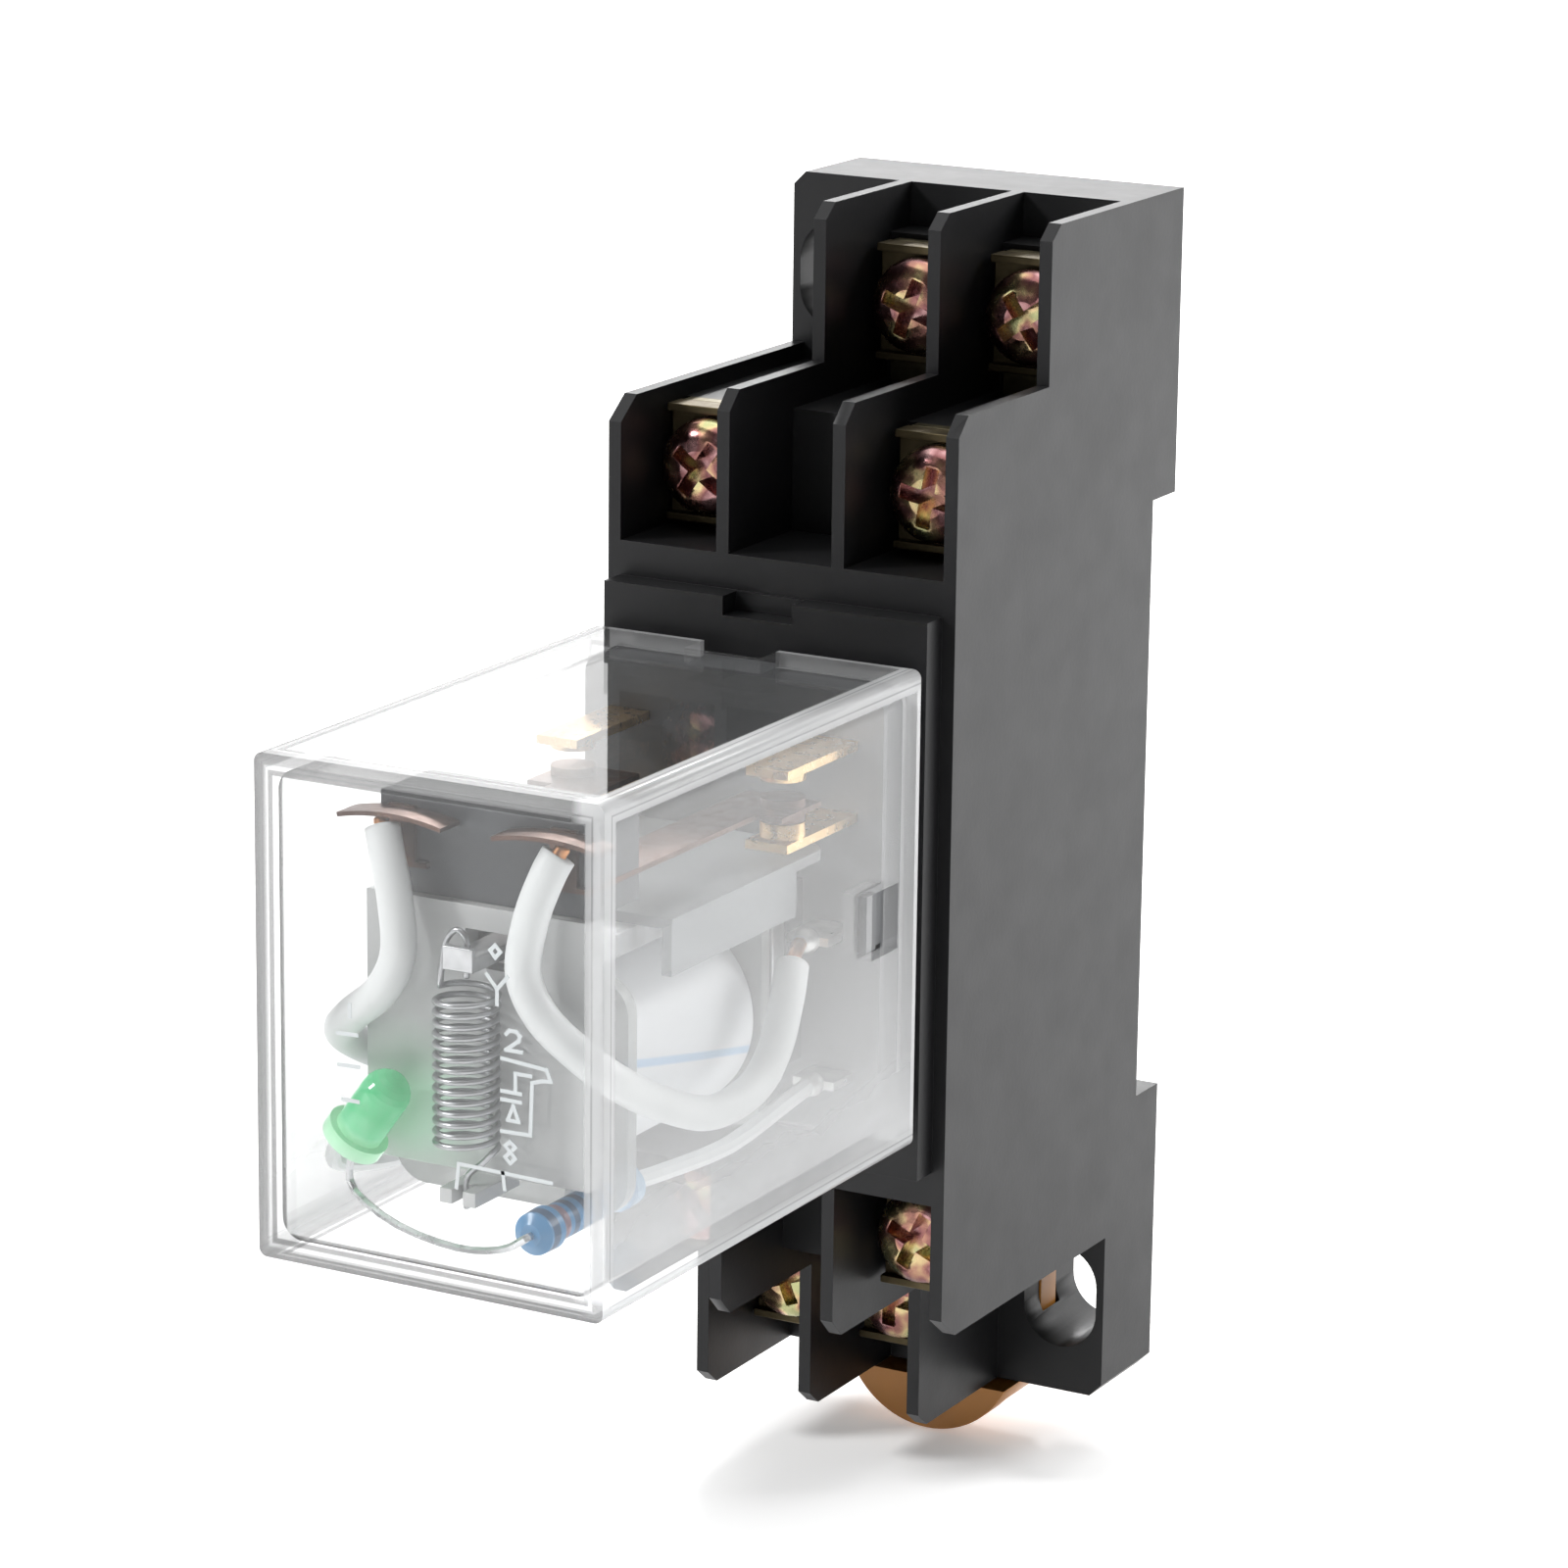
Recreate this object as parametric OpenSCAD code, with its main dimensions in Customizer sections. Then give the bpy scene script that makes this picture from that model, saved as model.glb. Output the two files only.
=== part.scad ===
// Plug-in relay on its rail-mounting screw-terminal socket.
// Frame: X to the right, Y into the wall, Z up. The origin is the middle of the rear mounting face.
// Every length is in millimetres.

/* [View] */
// Which piece to draw; all draws every piece

/* [Socket body] */
// Width of the socket over its side walls
body_w = 22.2; // [20:0.1:26]
// Height of the socket from end to end
body_h = 72.8; // [66:0.1:80]
// Thickness of the outer side walls
side_t = 0.8; // [0.6:0.1:1.2]
// Thickness of the fins between the terminal bays
fin_t = 0.8; // [0.6:0.1:1.2]
// Depth of the fins of the outer (low) terminal tier
low_tier_d = 17.2; // [15:0.1:19]
// Depth of the fins of the inner (high) terminal tier
high_tier_d = 28.2; // [26:0.1:29]
// How far the relay platform stands in front of the high tier
platform_rise = 1.8; // [1:0.1:3]
// Height from mid-plane to the end of the high tier
high_tier_z = 27.3; // [26:0.1:29]
// Height from mid-plane to the closed end of the high-tier bays
bay_floor_z = 18.1; // [17:0.1:19]
// Depth of the terminal seat of the high tier
high_seat_d = 20.8; // [19:0.1:22]
// Depth of the terminal seat of the low tier
low_seat_d = 9.4; // [8:0.1:10]
// Depth of the end lugs and of the plate behind the low tier
lug_d = 6.8; // [6:0.1:8]
// Chamfer on the front corner of each fin
fin_chamfer = 1.1; // [0.5:0.1:1.5]

/* [Rail recess and mounting holes] */
// Height of the recess for the rail
rail_slot_h = 36.6; // [35.6:0.1:37]
// Depth of the recess for the rail
rail_slot_d = 3.0; // [2.5:0.1:4]
// Half the width of the two mounting slots
mount_slot_r = 2.4; // [1.8:0.05:2.5]
// How much longer than wide each mounting slot is
mount_slot_extra = 1.6; // [0.5:0.1:2]
// Sideways distance of each mounting slot from the middle
mount_slot_x = 8.2; // [7.8:0.1:8.3]
// Upward distance of each mounting slot from the middle
mount_slot_z = 30.4; // [29.8:0.1:31]

/* [Terminals] */
// Sideways pitch of the terminal bays, as a share of the width
bay_share = 0.3311; // [0.325:0.0005:0.335]
// Height of the low-tier screws from mid-plane
low_screw_z = 30.1; // [29:0.1:31]
// Height of the high-tier screws from mid-plane
high_screw_z = 21.8; // [21:0.1:23]
// Height of the screw heads
head_h = 2.1; // [1.8:0.1:2.4]
// Radius of the screw threads
screw_r = 1.45; // [1.4:0.01:1.5]
// Length of the screws under the head
screw_len = 5.2; // [4.6:0.1:5.6]
// Thickness of the square clamp washers
washer_t = 0.9; // [0.6:0.1:1.2]
// Thickness of the contact strips
strip_t = 0.8; // [0.6:0.1:1]

/* [Rail latch] */
// Width of the latch slide
latch_w = 11.8; // [10:0.1:13]
// Thickness of the latch slide
latch_t = 2.0; // [1.6:0.1:2.4]
// How far the pull tab hangs below the socket
tab_drop = 3.6; // [3:0.1:5]
// Radius of the round pull tab
tab_r = 5.8; // [5:0.1:5.9]
// Travel of the latch
latch_travel = 2.5; // [2:0.1:3]

/* [Relay case] */
// Width of the clear case
case_w = 21.0; // [20:0.1:21.5]
// Height of the clear case
case_h = 27.4; // [26:0.1:28]
// Depth of the clear case
case_d = 34.0; // [32:0.1:35]
// Wall of the clear case
case_t = 0.9; // [0.7:0.1:1.2]
// Width of a relay blade
blade_w = 2.6; // [2.4:0.1:2.8]
// Thickness of a relay blade
blade_t = 0.5; // [0.4:0.05:0.6]
// Length of a relay blade below the base
blade_len = 6.2; // [5.5:0.1:6.5]

/* [Relay works] */
// Radius over the coil tape
tape_r = 5.6; // [5:0.1:6]
// Radius of the magnet core
core_r = 2.5; // [2:0.1:3]
// Outer radius of the return spring
return_spring_r = 1.8; // [1.5:0.1:2]
// Wire radius of the return spring
return_wire_r = 0.17; // [0.12:0.01:0.25]
// Turns of the return spring
return_turns = 15; // [10:1:18]
// Outer radius of the white lead sleeves
sleeve_r = 0.95; // [0.7:0.05:1.1]

/* [Clearances] */
// Gap round each piece that slides
slide_gap = 0.2; // [0.1:0.05:0.3]
// Gap between pieces that rest on each other across a joint
rest_gap = 0.05; // [0.02:0.01:0.1]
// Radial gap of a screw in its threaded hole
thread_gap = 0.05; // [0.02:0.01:0.1]
// Gap between a blade and each leaf of its clip
clip_gap = 0.05; // [0.02:0.01:0.1]
// Gap where one fixed piece drops into another
fit_gap = 0.1; // [0.05:0.01:0.2]
// Gap between a screw head and the side wall of its bay
head_gap = 0.15; // [0.1:0.01:0.3]

/* [Hidden] */
$fn = 32;
eps = 0.01;

hw = body_w / 2;
hh = body_h / 2;
inner_w = hw - side_t;
slot_z = rail_slot_h / 2;
body_d = high_tier_d + platform_rise;

// Terminal pieces fill their bay up to the side wall.
bay_pitch = body_w * bay_share;
head_r = inner_w - bay_pitch - head_gap;
washer_w = 2 * (head_r + head_gap - rest_gap);
washer_h = 2 * (high_screw_z - bay_floor_z - 3 * fit_gap);
strip_w = washer_w - 4 * fit_gap;

// Fins stand half a pitch either side of the middle.
fin_x = bay_pitch / 2;

// Terminals: sideways place, height, tier (0 low, 1 high), turn of the screw slot.
TERMS = [
  [0, low_screw_z, 0, 20],
  [bay_pitch, low_screw_z, 0, 55],
  [-bay_pitch, high_screw_z, 1, 35],
  [bay_pitch, high_screw_z, 1, 10],
  [-bay_pitch, -high_screw_z, 1, 50],
  [bay_pitch, -high_screw_z, 1, 25],
  [-bay_pitch, -low_screw_z, 0, 70],
  [0, -low_screw_z, 0, 5]
];

// Relay blades: rows of two, one blade each side.
blade_x = 6.6;
row_open_z = 9.6;
row_closed_z = 5.5;
row_common_z = -0.9;
row_coil_z = -9.4;
BLADE_ROWS = [row_open_z, row_closed_z, row_common_z, row_coil_z];

// Row of the clip that each terminal feeds, and its side.
CLIPS = [
  [-blade_x, row_closed_z], [blade_x, row_closed_z],
  [-blade_x, row_open_z], [blade_x, row_open_z],
  [-blade_x, row_coil_z], [blade_x, row_coil_z],
  [-blade_x, row_common_z], [blade_x, row_common_z]
];

// Depths inside the socket.
platform_z = 16.1;
platform_skin = 1.6;
cavity_w = inner_w - 0.8;
cavity_z = 14.9;
cover_z = 17.4;
cover_t = 1.6;
cover_y = -rail_slot_d - cover_t;

// Relay depths.
base_back = -body_d - rest_gap;
case_back = -body_d - 1.0;
case_front = case_back - case_d;
case_in_w = case_w / 2 - case_t;
case_in_h = case_h / 2 - case_t;
case_in_front = case_front + case_t;
base_front = case_back - 2.4;
clip_end = base_back + blade_len + 0.4;

// Latch depths.
latch_front = -4.7;
latch_back = latch_front + latch_t;
latch_channel_w = latch_w / 2 + slide_gap;
latch_neck = 4.4;
latch_top = -slot_z - 0.3;
latch_hook_z = -16.5;
latch_window_w = 1.6;
latch_window_top = -24.5;
latch_window_end = -31.3;
tab_top = -hh - 0.3;
tab_front = -8.2;
peg_top = -29.9;
peg_t = 1.1;
latch_spring_y = -3.0;
latch_spring_r = 1.25;

// Coil depths and height.
coil_z = -4.6;
coil_front = case_front + 9.0;
coil_back = base_front - 7.0;
flange_t = 0.9;
pole_t = 0.9;
core_front = coil_front - flange_t - pole_t;
yoke_leg_z = 2.5;
yoke_t = 1.3;
yoke_back = coil_back + flange_t + 1.9;
yoke_front = core_front - 0.4;

// Armature, contact carrier and springs.
arm_t = 1.3;
arm_back = core_front - 0.75;
arm_front = arm_back - arm_t;
arm_top_z = 5.7;
arm_end_z = coil_z - 4.2;
strip_z = 7.3;
strip_half = 0.15;
carrier_front = arm_front + 0.5;
carrier_back = carrier_front + 4.8;
carrier_top_z = 11.0;
spring_x = 0.5;
spring_y = case_front + 3.0;
spring_top_z = 1.8;
spring_end_z = -6.7;
tongue_z = 3.0;
tongue_t = 0.8;
tail_z = -9.6;

// ---------- helpers ----------

// Box between two corners.
module slab(x0, x1, y0, y1, z0, z1) {
  translate([x0, y0, z0]) cube([x1 - x0, y1 - y0, z1 - z0]);
}

// Profile given as (y, z) points, run along X.
module along_x(x0, x1, pts) {
  translate([x0, 0, 0]) rotate([90, 0, 90]) linear_extrude(x1 - x0) polygon(pts);
}

// Round rod along Y.
module rod_y(x, z, r, y0, y1) {
  translate([x, y0, z]) rotate([-90, 0, 0]) cylinder(r = r, h = y1 - y0);
}

// Flat rectangle with round corners.
module round_rect(w, h, r) {
  square([w - 2 * r, h], center = true);
  square([w, h - 2 * r], center = true);
  for (sx = [-1, 1]) for (sz = [-1, 1])
    translate([sx * (w / 2 - r), sz * (h / 2 - r)]) circle(r = r);
}

// Round-cornered bar along Y.
module round_bar(w, h, r, y0, y1) {
  translate([0, y1, 0]) rotate([90, 0, 0]) linear_extrude(y1 - y0) round_rect(w, h, r);
}

// Both ends of the socket are the same, turned half round the Y axis.
module both_ends() {
  children();
  rotate([0, 180, 0]) children();
}

// Smooth curve through hand-placed points.
function spline_at(p, i, t) = let (
    n = len(p) - 1,
    a = p[max(i - 1, 0)], b = p[i], c = p[min(i + 1, n)], d = p[min(i + 2, n)]
  ) 0.5 * (2 * b + (c - a) * t + (2 * a - 5 * b + 4 * c - d) * t * t
    + (3 * b - a - 3 * c + d) * t * t * t);
function spline(p, steps) = concat(
  [for (i = [0 : len(p) - 2]) for (k = [0 : steps - 1]) spline_at(p, i, k / steps)],
  [p[len(p) - 1]]);

function unit(v) = v / norm(v);
function tangent(p, i) = unit(p[min(i + 1, len(p) - 1)] - p[max(i - 1, 0)]);
function side_of(t, up) = unit(cross(t, up));
function ring(c, t, up, r, sides) = let (s = side_of(t, up), n = cross(s, t))
  [for (k = [0 : sides - 1]) c + r * cos(360 * k / sides) * s + r * sin(360 * k / sides) * n];

// Round wire along a path.
module wire(path, r, sides = 6, up = [0.12, 0.3, 1]) {
  n = len(path);
  pts = [for (i = [0 : n - 1]) each ring(path[i], tangent(path, i), up, r, sides)];
  walls = [for (i = [0 : n - 2]) for (k = [0 : sides - 1]) let (
      a = i * sides + k, b = i * sides + (k + 1) % sides)
    [a, b, b + sides, a + sides]];
  ends = [[for (k = [sides - 1 : -1 : 0]) k], [for (k = [0 : sides - 1]) (n - 1) * sides + k]];
  polyhedron(points = pts, faces = concat([for (f = walls) [f[0], f[3], f[2], f[1]]],
    [for (f = ends) [for (k = [len(f) - 1 : -1 : 0]) f[k]]]), convexity = 6);
}

// Hollow tube along a path.
module tube(path, r_out, r_in, sides = 8, up = [0.12, 0.3, 1]) {
  n = len(path);
  outer = [for (i = [0 : n - 1]) each ring(path[i], tangent(path, i), up, r_out, sides)];
  inner = [for (i = [0 : n - 1]) each ring(path[i], tangent(path, i), up, r_in, sides)];
  m = n * sides;
  skin = [for (i = [0 : n - 2]) for (k = [0 : sides - 1]) let (
      a = i * sides + k, b = i * sides + (k + 1) % sides)
    [a, a + sides, b + sides, b]];
  bore = [for (f = skin) [f[0] + m, f[3] + m, f[2] + m, f[1] + m]];
  mouth = [for (k = [0 : sides - 1]) [k, (k + 1) % sides, (k + 1) % sides + m, k + m]];
  foot = [for (k = [0 : sides - 1]) let (a = (n - 1) * sides + k, b = (n - 1) * sides + (k + 1) % sides)
    [a, a + m, b + m, b]];
  polyhedron(points = concat(outer, inner), faces = concat(skin, bore, mouth, foot), convexity = 8);
}

// Helix along Z.
function helix(r, z0, z1, turns, per_turn) = [for (i = [0 : turns * per_turn])
  [r * cos(360 * i / per_turn), r * sin(360 * i / per_turn), z0 + (z1 - z0) * i / (turns * per_turn)]];

// ---------- socket housing ----------

// Side view of a fin or wall beside a low-tier bay, upper half.
function fin_profile() = [
  [-lug_d + 0.4, hh], [-low_tier_d + fin_chamfer, hh], [-low_tier_d, hh - fin_chamfer * 0.8],
  [-low_tier_d, high_tier_z], [-high_tier_d + fin_chamfer, high_tier_z],
  [-high_tier_d, high_tier_z - fin_chamfer], [-high_tier_d, bay_floor_z - 1],
  [-lug_d + 0.4, bay_floor_z - 1]];

// Side view of the wall beside a lug, upper half.
lug_wall_z = high_tier_z - 1.1;
function lug_wall_profile() = [
  [-lug_d + 0.4, lug_wall_z], [-high_tier_d + fin_chamfer * 1.6, lug_wall_z],
  [-high_tier_d, lug_wall_z - fin_chamfer * 1.2], [-high_tier_d, bay_floor_z - 1],
  [-lug_d + 0.4, bay_floor_z - 1]];

// Roof height of the high-tier block, which is the closed end of the low-tier bays.
roof_z = 25.2;
low_seat_top = 33.8;

module housing_end() {
  // right wall, fins and left wall
  along_x(inner_w, hw, fin_profile());
  along_x(fin_x - fin_t / 2, fin_x + fin_t / 2, fin_profile());
  along_x(-fin_x - fin_t / 2, -fin_x + fin_t / 2, fin_profile());
  along_x(-hw, -inner_w, lug_wall_profile());
  // terminal seats of the low tier
  slab(-fin_x, inner_w + eps, -low_seat_d, -lug_d + 0.5, bay_floor_z, low_seat_top);
  // block behind the high tier
  slab(-inner_w - eps, inner_w + eps, -high_seat_d, -lug_d + 0.5, bay_floor_z - 1, roof_z);
}

module housing_solid() {
  difference() {
    slab(-hw, hw, -lug_d, 0, -hh, hh);
    both_ends() translate([-hw, -lug_d - 1, hh]) rotate([0, 45, 0])
      cube([1.1, 2 * lug_d + 2, 1.1], center = true);
  }
  both_ends() housing_end();
  slab(-hw, hw, -high_tier_d, -lug_d + 0.5, -bay_floor_z, bay_floor_z);
  slab(-inner_w, inner_w, -body_d, -high_tier_d + 0.5, -platform_z, platform_z);
}

// Passage of a contact strip from its terminal seat to the middle cavity.
module strip_passage(t, z_end) {
  seat = t[2] == 1 ? high_seat_d : low_seat_d;
  up = t[1] > 0 ? 1 : -1;
  floor_z = t[2] == 1 ? bay_floor_z : roof_z;
  z0 = up > 0 ? z_end : -floor_z - 0.5;
  z1 = up > 0 ? floor_z + 0.5 : -z_end;
  w = strip_w / 2 + fit_gap;
  slab(t[0] - w, t[0] + w, -seat - strip_t - fit_gap, -seat + eps, z0, z1);
}

module screw_clearance(t) {
  seat = t[2] == 1 ? high_seat_d : low_seat_d;
  rod_y(t[0], t[1], screw_r + 0.3, -seat - 1, -seat + screw_len - strip_t - washer_t + 0.4);
}

module latch_channel() {
  slab(-latch_channel_w, latch_channel_w, latch_front - slide_gap / 2, latch_back + slide_gap,
    -hh - 1, -slot_z + 1);
  slab(-latch_neck - slide_gap, latch_neck + slide_gap, latch_back, 1, -hh - 1, -slot_z + 1);
  // the slide runs a little way into the rail recess
  slab(-latch_channel_w, latch_channel_w, latch_front - slide_gap / 2, 0, -slot_z, -slot_z + 0.6);
}

module mounting_slot() {
  half = mount_slot_extra / 2;
  for (s = [-1, 1]) rod_y(-mount_slot_x, mount_slot_z + s * half, mount_slot_r, -lug_d - 1, 1);
  slab(-mount_slot_x - mount_slot_r, -mount_slot_x + mount_slot_r, -lug_d - 1, 1,
    mount_slot_z - half, mount_slot_z + half);
}

module latch_peg() {
  slab(-1.25, 1.25, latch_front - 0.4, latch_spring_y + 1.4, peg_top - peg_t, peg_top);
}

module socket_housing() {
  color("#1b1c1e") {
    difference() {
      housing_solid();
      // rail recess
      slab(-hw - 1, hw + 1, -rail_slot_d, 1, -slot_z, slot_z);
      // mounting slots in the lugs
      both_ends() mounting_slot();
      // middle cavity and the seat of the rear cover
      slab(-cavity_w, cavity_w, -body_d + platform_skin, 1, -cavity_z, cavity_z);
      slab(-cavity_w - 0.4, cavity_w + 0.4, cover_y, 1, -cover_z, cover_z);
      // blade slots
      for (z = BLADE_ROWS) for (s = [-1, 1]) {
        translate([s * blade_x, 0, z]) slab(-1.6, 1.6, -body_d - 1, -body_d + 3, -0.5, 0.5);
      }
      // small notch in the upper edge of the platform
      slab(-2.6, 1.8, -body_d - 1, -high_tier_d - 0.3, platform_z - 1.1, platform_z + 1);
      for (t = TERMS) {
        strip_passage(t, cavity_z - 1);
        screw_clearance(t);
      }
      latch_channel();
    }
    // fixed hook over the upper edge of the rail
    along_x(-8, 8, [[-1.7, slot_z + 0.5], [-1.7, 16.6], [-1.2, 16.6], [0, 17.6], [0, slot_z + 0.5]]);
    latch_peg();
  }
}

module rear_cover() {
  color("#232427") difference() {
    slab(-cavity_w - 0.4 + fit_gap, cavity_w + 0.4 - fit_gap, cover_y, -rail_slot_d,
      -cover_z + fit_gap, cover_z - fit_gap);
    // shallow ejector marks
    for (s = [-1, 1]) rod_y(0, s * 9, 2, -rail_slot_d - 0.3, 0);
  }
}

// ---------- rail latch ----------

module din_latch() {
  color("#b5741e") difference() {
    union() {
      slab(-latch_w / 2, latch_w / 2, latch_front, latch_back, -hh - 0.1, latch_top);
      slab(-latch_neck, latch_neck, latch_back - eps, -0.2, -hh + 1.4, latch_top);
      along_x(-latch_neck, latch_neck, [[-1.7, latch_top - 0.5], [-1.7, latch_hook_z],
        [-1.2, latch_hook_z], [-0.2, latch_hook_z - 0.9], [-0.2, latch_top - 0.5]]);
      pull_tab();
    }
    // window for the peg and the spring
    slab(-latch_window_w, latch_window_w, latch_front - 1, 1, latch_window_end, latch_window_top);
  }
}

// Round pull tab that steps forward under the socket.
module pull_tab() {
  intersection() {
    rod_y(0, -hh - tab_drop + tab_r, tab_r, tab_front, latch_back);
    union() {
      slab(-latch_w, latch_w, latch_front, latch_back, tab_top - 1.3, -hh);
      slab(-latch_w, latch_w, tab_front, latch_back, tab_top - 1.3, tab_top);
      slab(-latch_w, latch_w, tab_front, tab_front + latch_t, -hh - 9, tab_top);
    }
  }
}

module latch_spring() {
  color("#c9ccd0") translate([0, latch_spring_y, 0])
    wire(helix(latch_spring_r - 0.18, peg_top + 0.2, latch_window_top - 0.2, 6, 12), 0.16,
      up = [0, 0, 1]);
}

// ---------- terminals ----------

function seat_of(t) = t[2] == 1 ? high_seat_d : low_seat_d;
function up_of(t) = t[1] > 0 ? 1 : -1;

// Clip that grips a blade: two leaves and a web behind the blade's end.
leaf_t = 0.4;
module clip(x, z) {
  in_h = blade_t / 2 + clip_gap;
  for (s = [-1, 1]) {
    z0 = s > 0 ? z + in_h : z - in_h - leaf_t;
    slab(x - 1.4, x + 1.4, -body_d + platform_skin + 0.3, clip_end + leaf_t, z0, z0 + leaf_t);
  }
  slab(x - 1.4, x + 1.4, clip_end, clip_end + leaf_t, z - in_h - leaf_t, z + in_h + leaf_t);
}

module contact_strip(i) {
  t = TERMS[i];
  c = CLIPS[i];
  up = up_of(t);
  seat = seat_of(t);
  y0 = -seat - strip_t;
  y1 = -seat;
  outer = t[1] + up * washer_h / 2;
  inner = up * (cavity_z - fit_gap);
  run = c[1] - up * 1.3;
  w = strip_w / 2;
  reach = cavity_w - fit_gap;
  color("#c8b878") difference() {
    union() {
      // terminal plate
      slab(t[0] - w, t[0] + w, y0, y1, min(outer, inner), max(outer, inner));
      if (t[2] == 1) {
        // straight run behind the clip
        slab(c[0] - 1.4, c[0] + 1.4, y0, y1, min(inner, run), max(inner, run));
        slab(c[0] - 1.4, c[0] + 1.4, clip_end, y1, c[1] - strip_t / 2, c[1] + strip_t / 2);
      } else {
        // cross run in the cavity, then forward to the clip
        cross_z = inner - up * 2.4;
        slab(max(min(t[0] - w, c[0] - 1.4), -reach), min(max(t[0] + w, c[0] + 1.4), reach), y0, y1,
          min(cross_z, inner), max(cross_z, inner));
        slab(c[0] - 1.4, c[0] + 1.4, y0, y1, min(c[1], inner), max(c[1], inner));
        slab(c[0] - 1.4, c[0] + 1.4, clip_end, y1, c[1] - strip_t / 2, c[1] + strip_t / 2);
      }
      clip(c[0], c[1]);
    }
    rod_y(t[0], t[1], screw_r + thread_gap, y0 - 1, y1 + 1);
  }
}

// Clamp washer with its upper and lower edges turned up past the screw head.
washer_lip_t = 0.45;
module clamp_washer(i) {
  t = TERMS[i];
  y1 = -seat_of(t) - strip_t - rest_gap;
  color("#c9a94e") difference() {
    union() {
      slab(t[0] - washer_w / 2, t[0] + washer_w / 2, y1 - washer_t, y1, t[1] - washer_h / 2, t[1] + washer_h / 2);
      for (s = [-1, 1]) translate([t[0], 0, t[1] + s * (washer_h - washer_lip_t) / 2])
        slab(-washer_w / 2, washer_w / 2, y1 - washer_t - 0.6, y1, -washer_lip_t / 2, washer_lip_t / 2);
    }
    rod_y(t[0], t[1], screw_r + 0.2, y1 - 3, y1 + 1);
  }
}

// Pan-head cross-recess screw pointing into the wall.
module terminal_screw(i) {
  t = TERMS[i];
  under = -seat_of(t) - strip_t - washer_t - 2 * rest_gap;
  color("#b9985a") translate([t[0], under, t[1]]) rotate([0, t[3], 0]) difference() {
    rotate([90, 0, 0]) union() {
      rotate_extrude() polygon([[0, -screw_len], [screw_r - 0.4, -screw_len], [screw_r, -screw_len + 0.5],
        [screw_r, 0], [head_r, 0], [head_r, head_h * 0.45], [head_r * 0.93, head_h * 0.72],
        [head_r * 0.72, head_h * 0.93], [head_r * 0.4, head_h], [0, head_h]]);
    }
    for (a = [0, 90]) rotate([0, a, 0]) slab(-1.75, 1.75, -head_h - 1, -head_h + 1.1, -0.42, 0.42);
  }
}

// ---------- relay case ----------

module relay_cover() {
  color("#dfe8ec", 0.35) difference() {
    round_bar(case_w, case_h, 0.5, case_front, case_back);
    round_bar(case_in_w * 2, case_in_h * 2, 1.2, case_in_front, case_back + 1);
    // notch in the upper rear edge
    slab(-3.2, 1.6, case_back - 2.2, case_back + 1, case_in_h - 0.5, case_h);
    // snap windows in both sides
    for (s = [-1, 1]) translate([s * case_w / 2, 0, 0.3])
      slab(-1.5, 1.5, case_back - 5.3, case_back - 2.3, -1.9, 1.9);
  }
}

module relay_base() {
  w = case_in_w - fit_gap;
  h = case_in_h - fit_gap;
  color("#d9dcda") difference() {
    union() {
      round_bar(w * 2, h * 2, 1.1, base_front, base_back);
      // snap tongues that fill the cover's windows
      for (s = [-1, 1]) {
        x0 = s > 0 ? w - 0.9 : -w;
        slab(x0, x0 + 0.9, case_back - 5.2, base_front + eps, -1.4, 2.0);
        x1 = s > 0 ? w - eps : -w - 0.5;
        slab(x1, x1 + 0.5 + eps, case_back - 5.0, case_back - 3.9, -1.3, 1.9);
      }
      // posts that carry the yoke
      for (s = [-1, 1]) slab(s * 3.7 - 0.9, s * 3.7 + 0.9, yoke_back + yoke_t / 2 + 0.02, base_front + eps,
        coil_z - 4.2, 1.6);
    }
    // slots for the blades
    for (z = BLADE_ROWS) for (s = [-1, 1]) translate([s * blade_x, 0, z])
      slab(-blade_w / 2 - 0.02, blade_w / 2 + 0.02, base_front - 9, base_back + 1,
        -blade_t / 2 - 0.02, blade_t / 2 + 0.02);
  }
}

// Blade through the base; top is how far it rises inside the case.
module blade(x, z, top) {
  slab(x - blade_w / 2, x + blade_w / 2, top, base_back + blade_len - 0.6, z - blade_t / 2, z + blade_t / 2);
  along_x(x - blade_w / 2 + 0.5, x + blade_w / 2 - 0.5, [
    [base_back + blade_len - 0.7, z - blade_t / 2], [base_back + blade_len, z - blade_t / 4],
    [base_back + blade_len, z + blade_t / 4], [base_back + blade_len - 0.7, z + blade_t / 2]]);
}

// Rivet contact along Z.
module rivet(x, y, z0, z1) {
  translate([x, y, z0]) cylinder(r = 1.25, h = z1 - z0);
}

contact_y = base_front - 6.1;
rivet_t = 0.5;
contact_travel = 1.0;
rivet_low_z = strip_z - strip_half - rivet_t;
rivet_high_z = strip_z + strip_half + rivet_t;

// Ball of solder where a wire meets a blade.
module solder(x, y, z, r) {
  translate([x, y, z]) sphere(r = r, $fn = 16);
}

module coil_terminal(s) {
  color("#c7c9c4") {
    blade(s * blade_x, row_coil_z, base_front - 2.2);
    solder(s * blade_x, base_front - 2.3, row_coil_z, 0.7);
  }
}
module coil_terminal_left() { coil_terminal(-1); }
module coil_terminal_right() { coil_terminal(1); }

module common_terminal(s) {
  color("#c7c9c4") {
    blade(s * blade_x, row_common_z, base_front - 3.1);
    solder(s * blade_x, base_front - 3.2, row_common_z, 0.75);
  }
}
module common_terminal_left() { common_terminal(-1); }
module common_terminal_right() { common_terminal(1); }

// The moving spring rests on the closed contact and is drawn up to the open one.
module closed_contact(s) {
  color("#c98a4b") {
    blade(s * blade_x, row_closed_z, contact_y - 1.8);
    rivet(s * blade_x, contact_y, row_closed_z + blade_t / 2 - eps, rivet_low_z - rest_gap);
  }
}
module closed_contact_left() { closed_contact(-1); }
module closed_contact_right() { closed_contact(1); }

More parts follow.
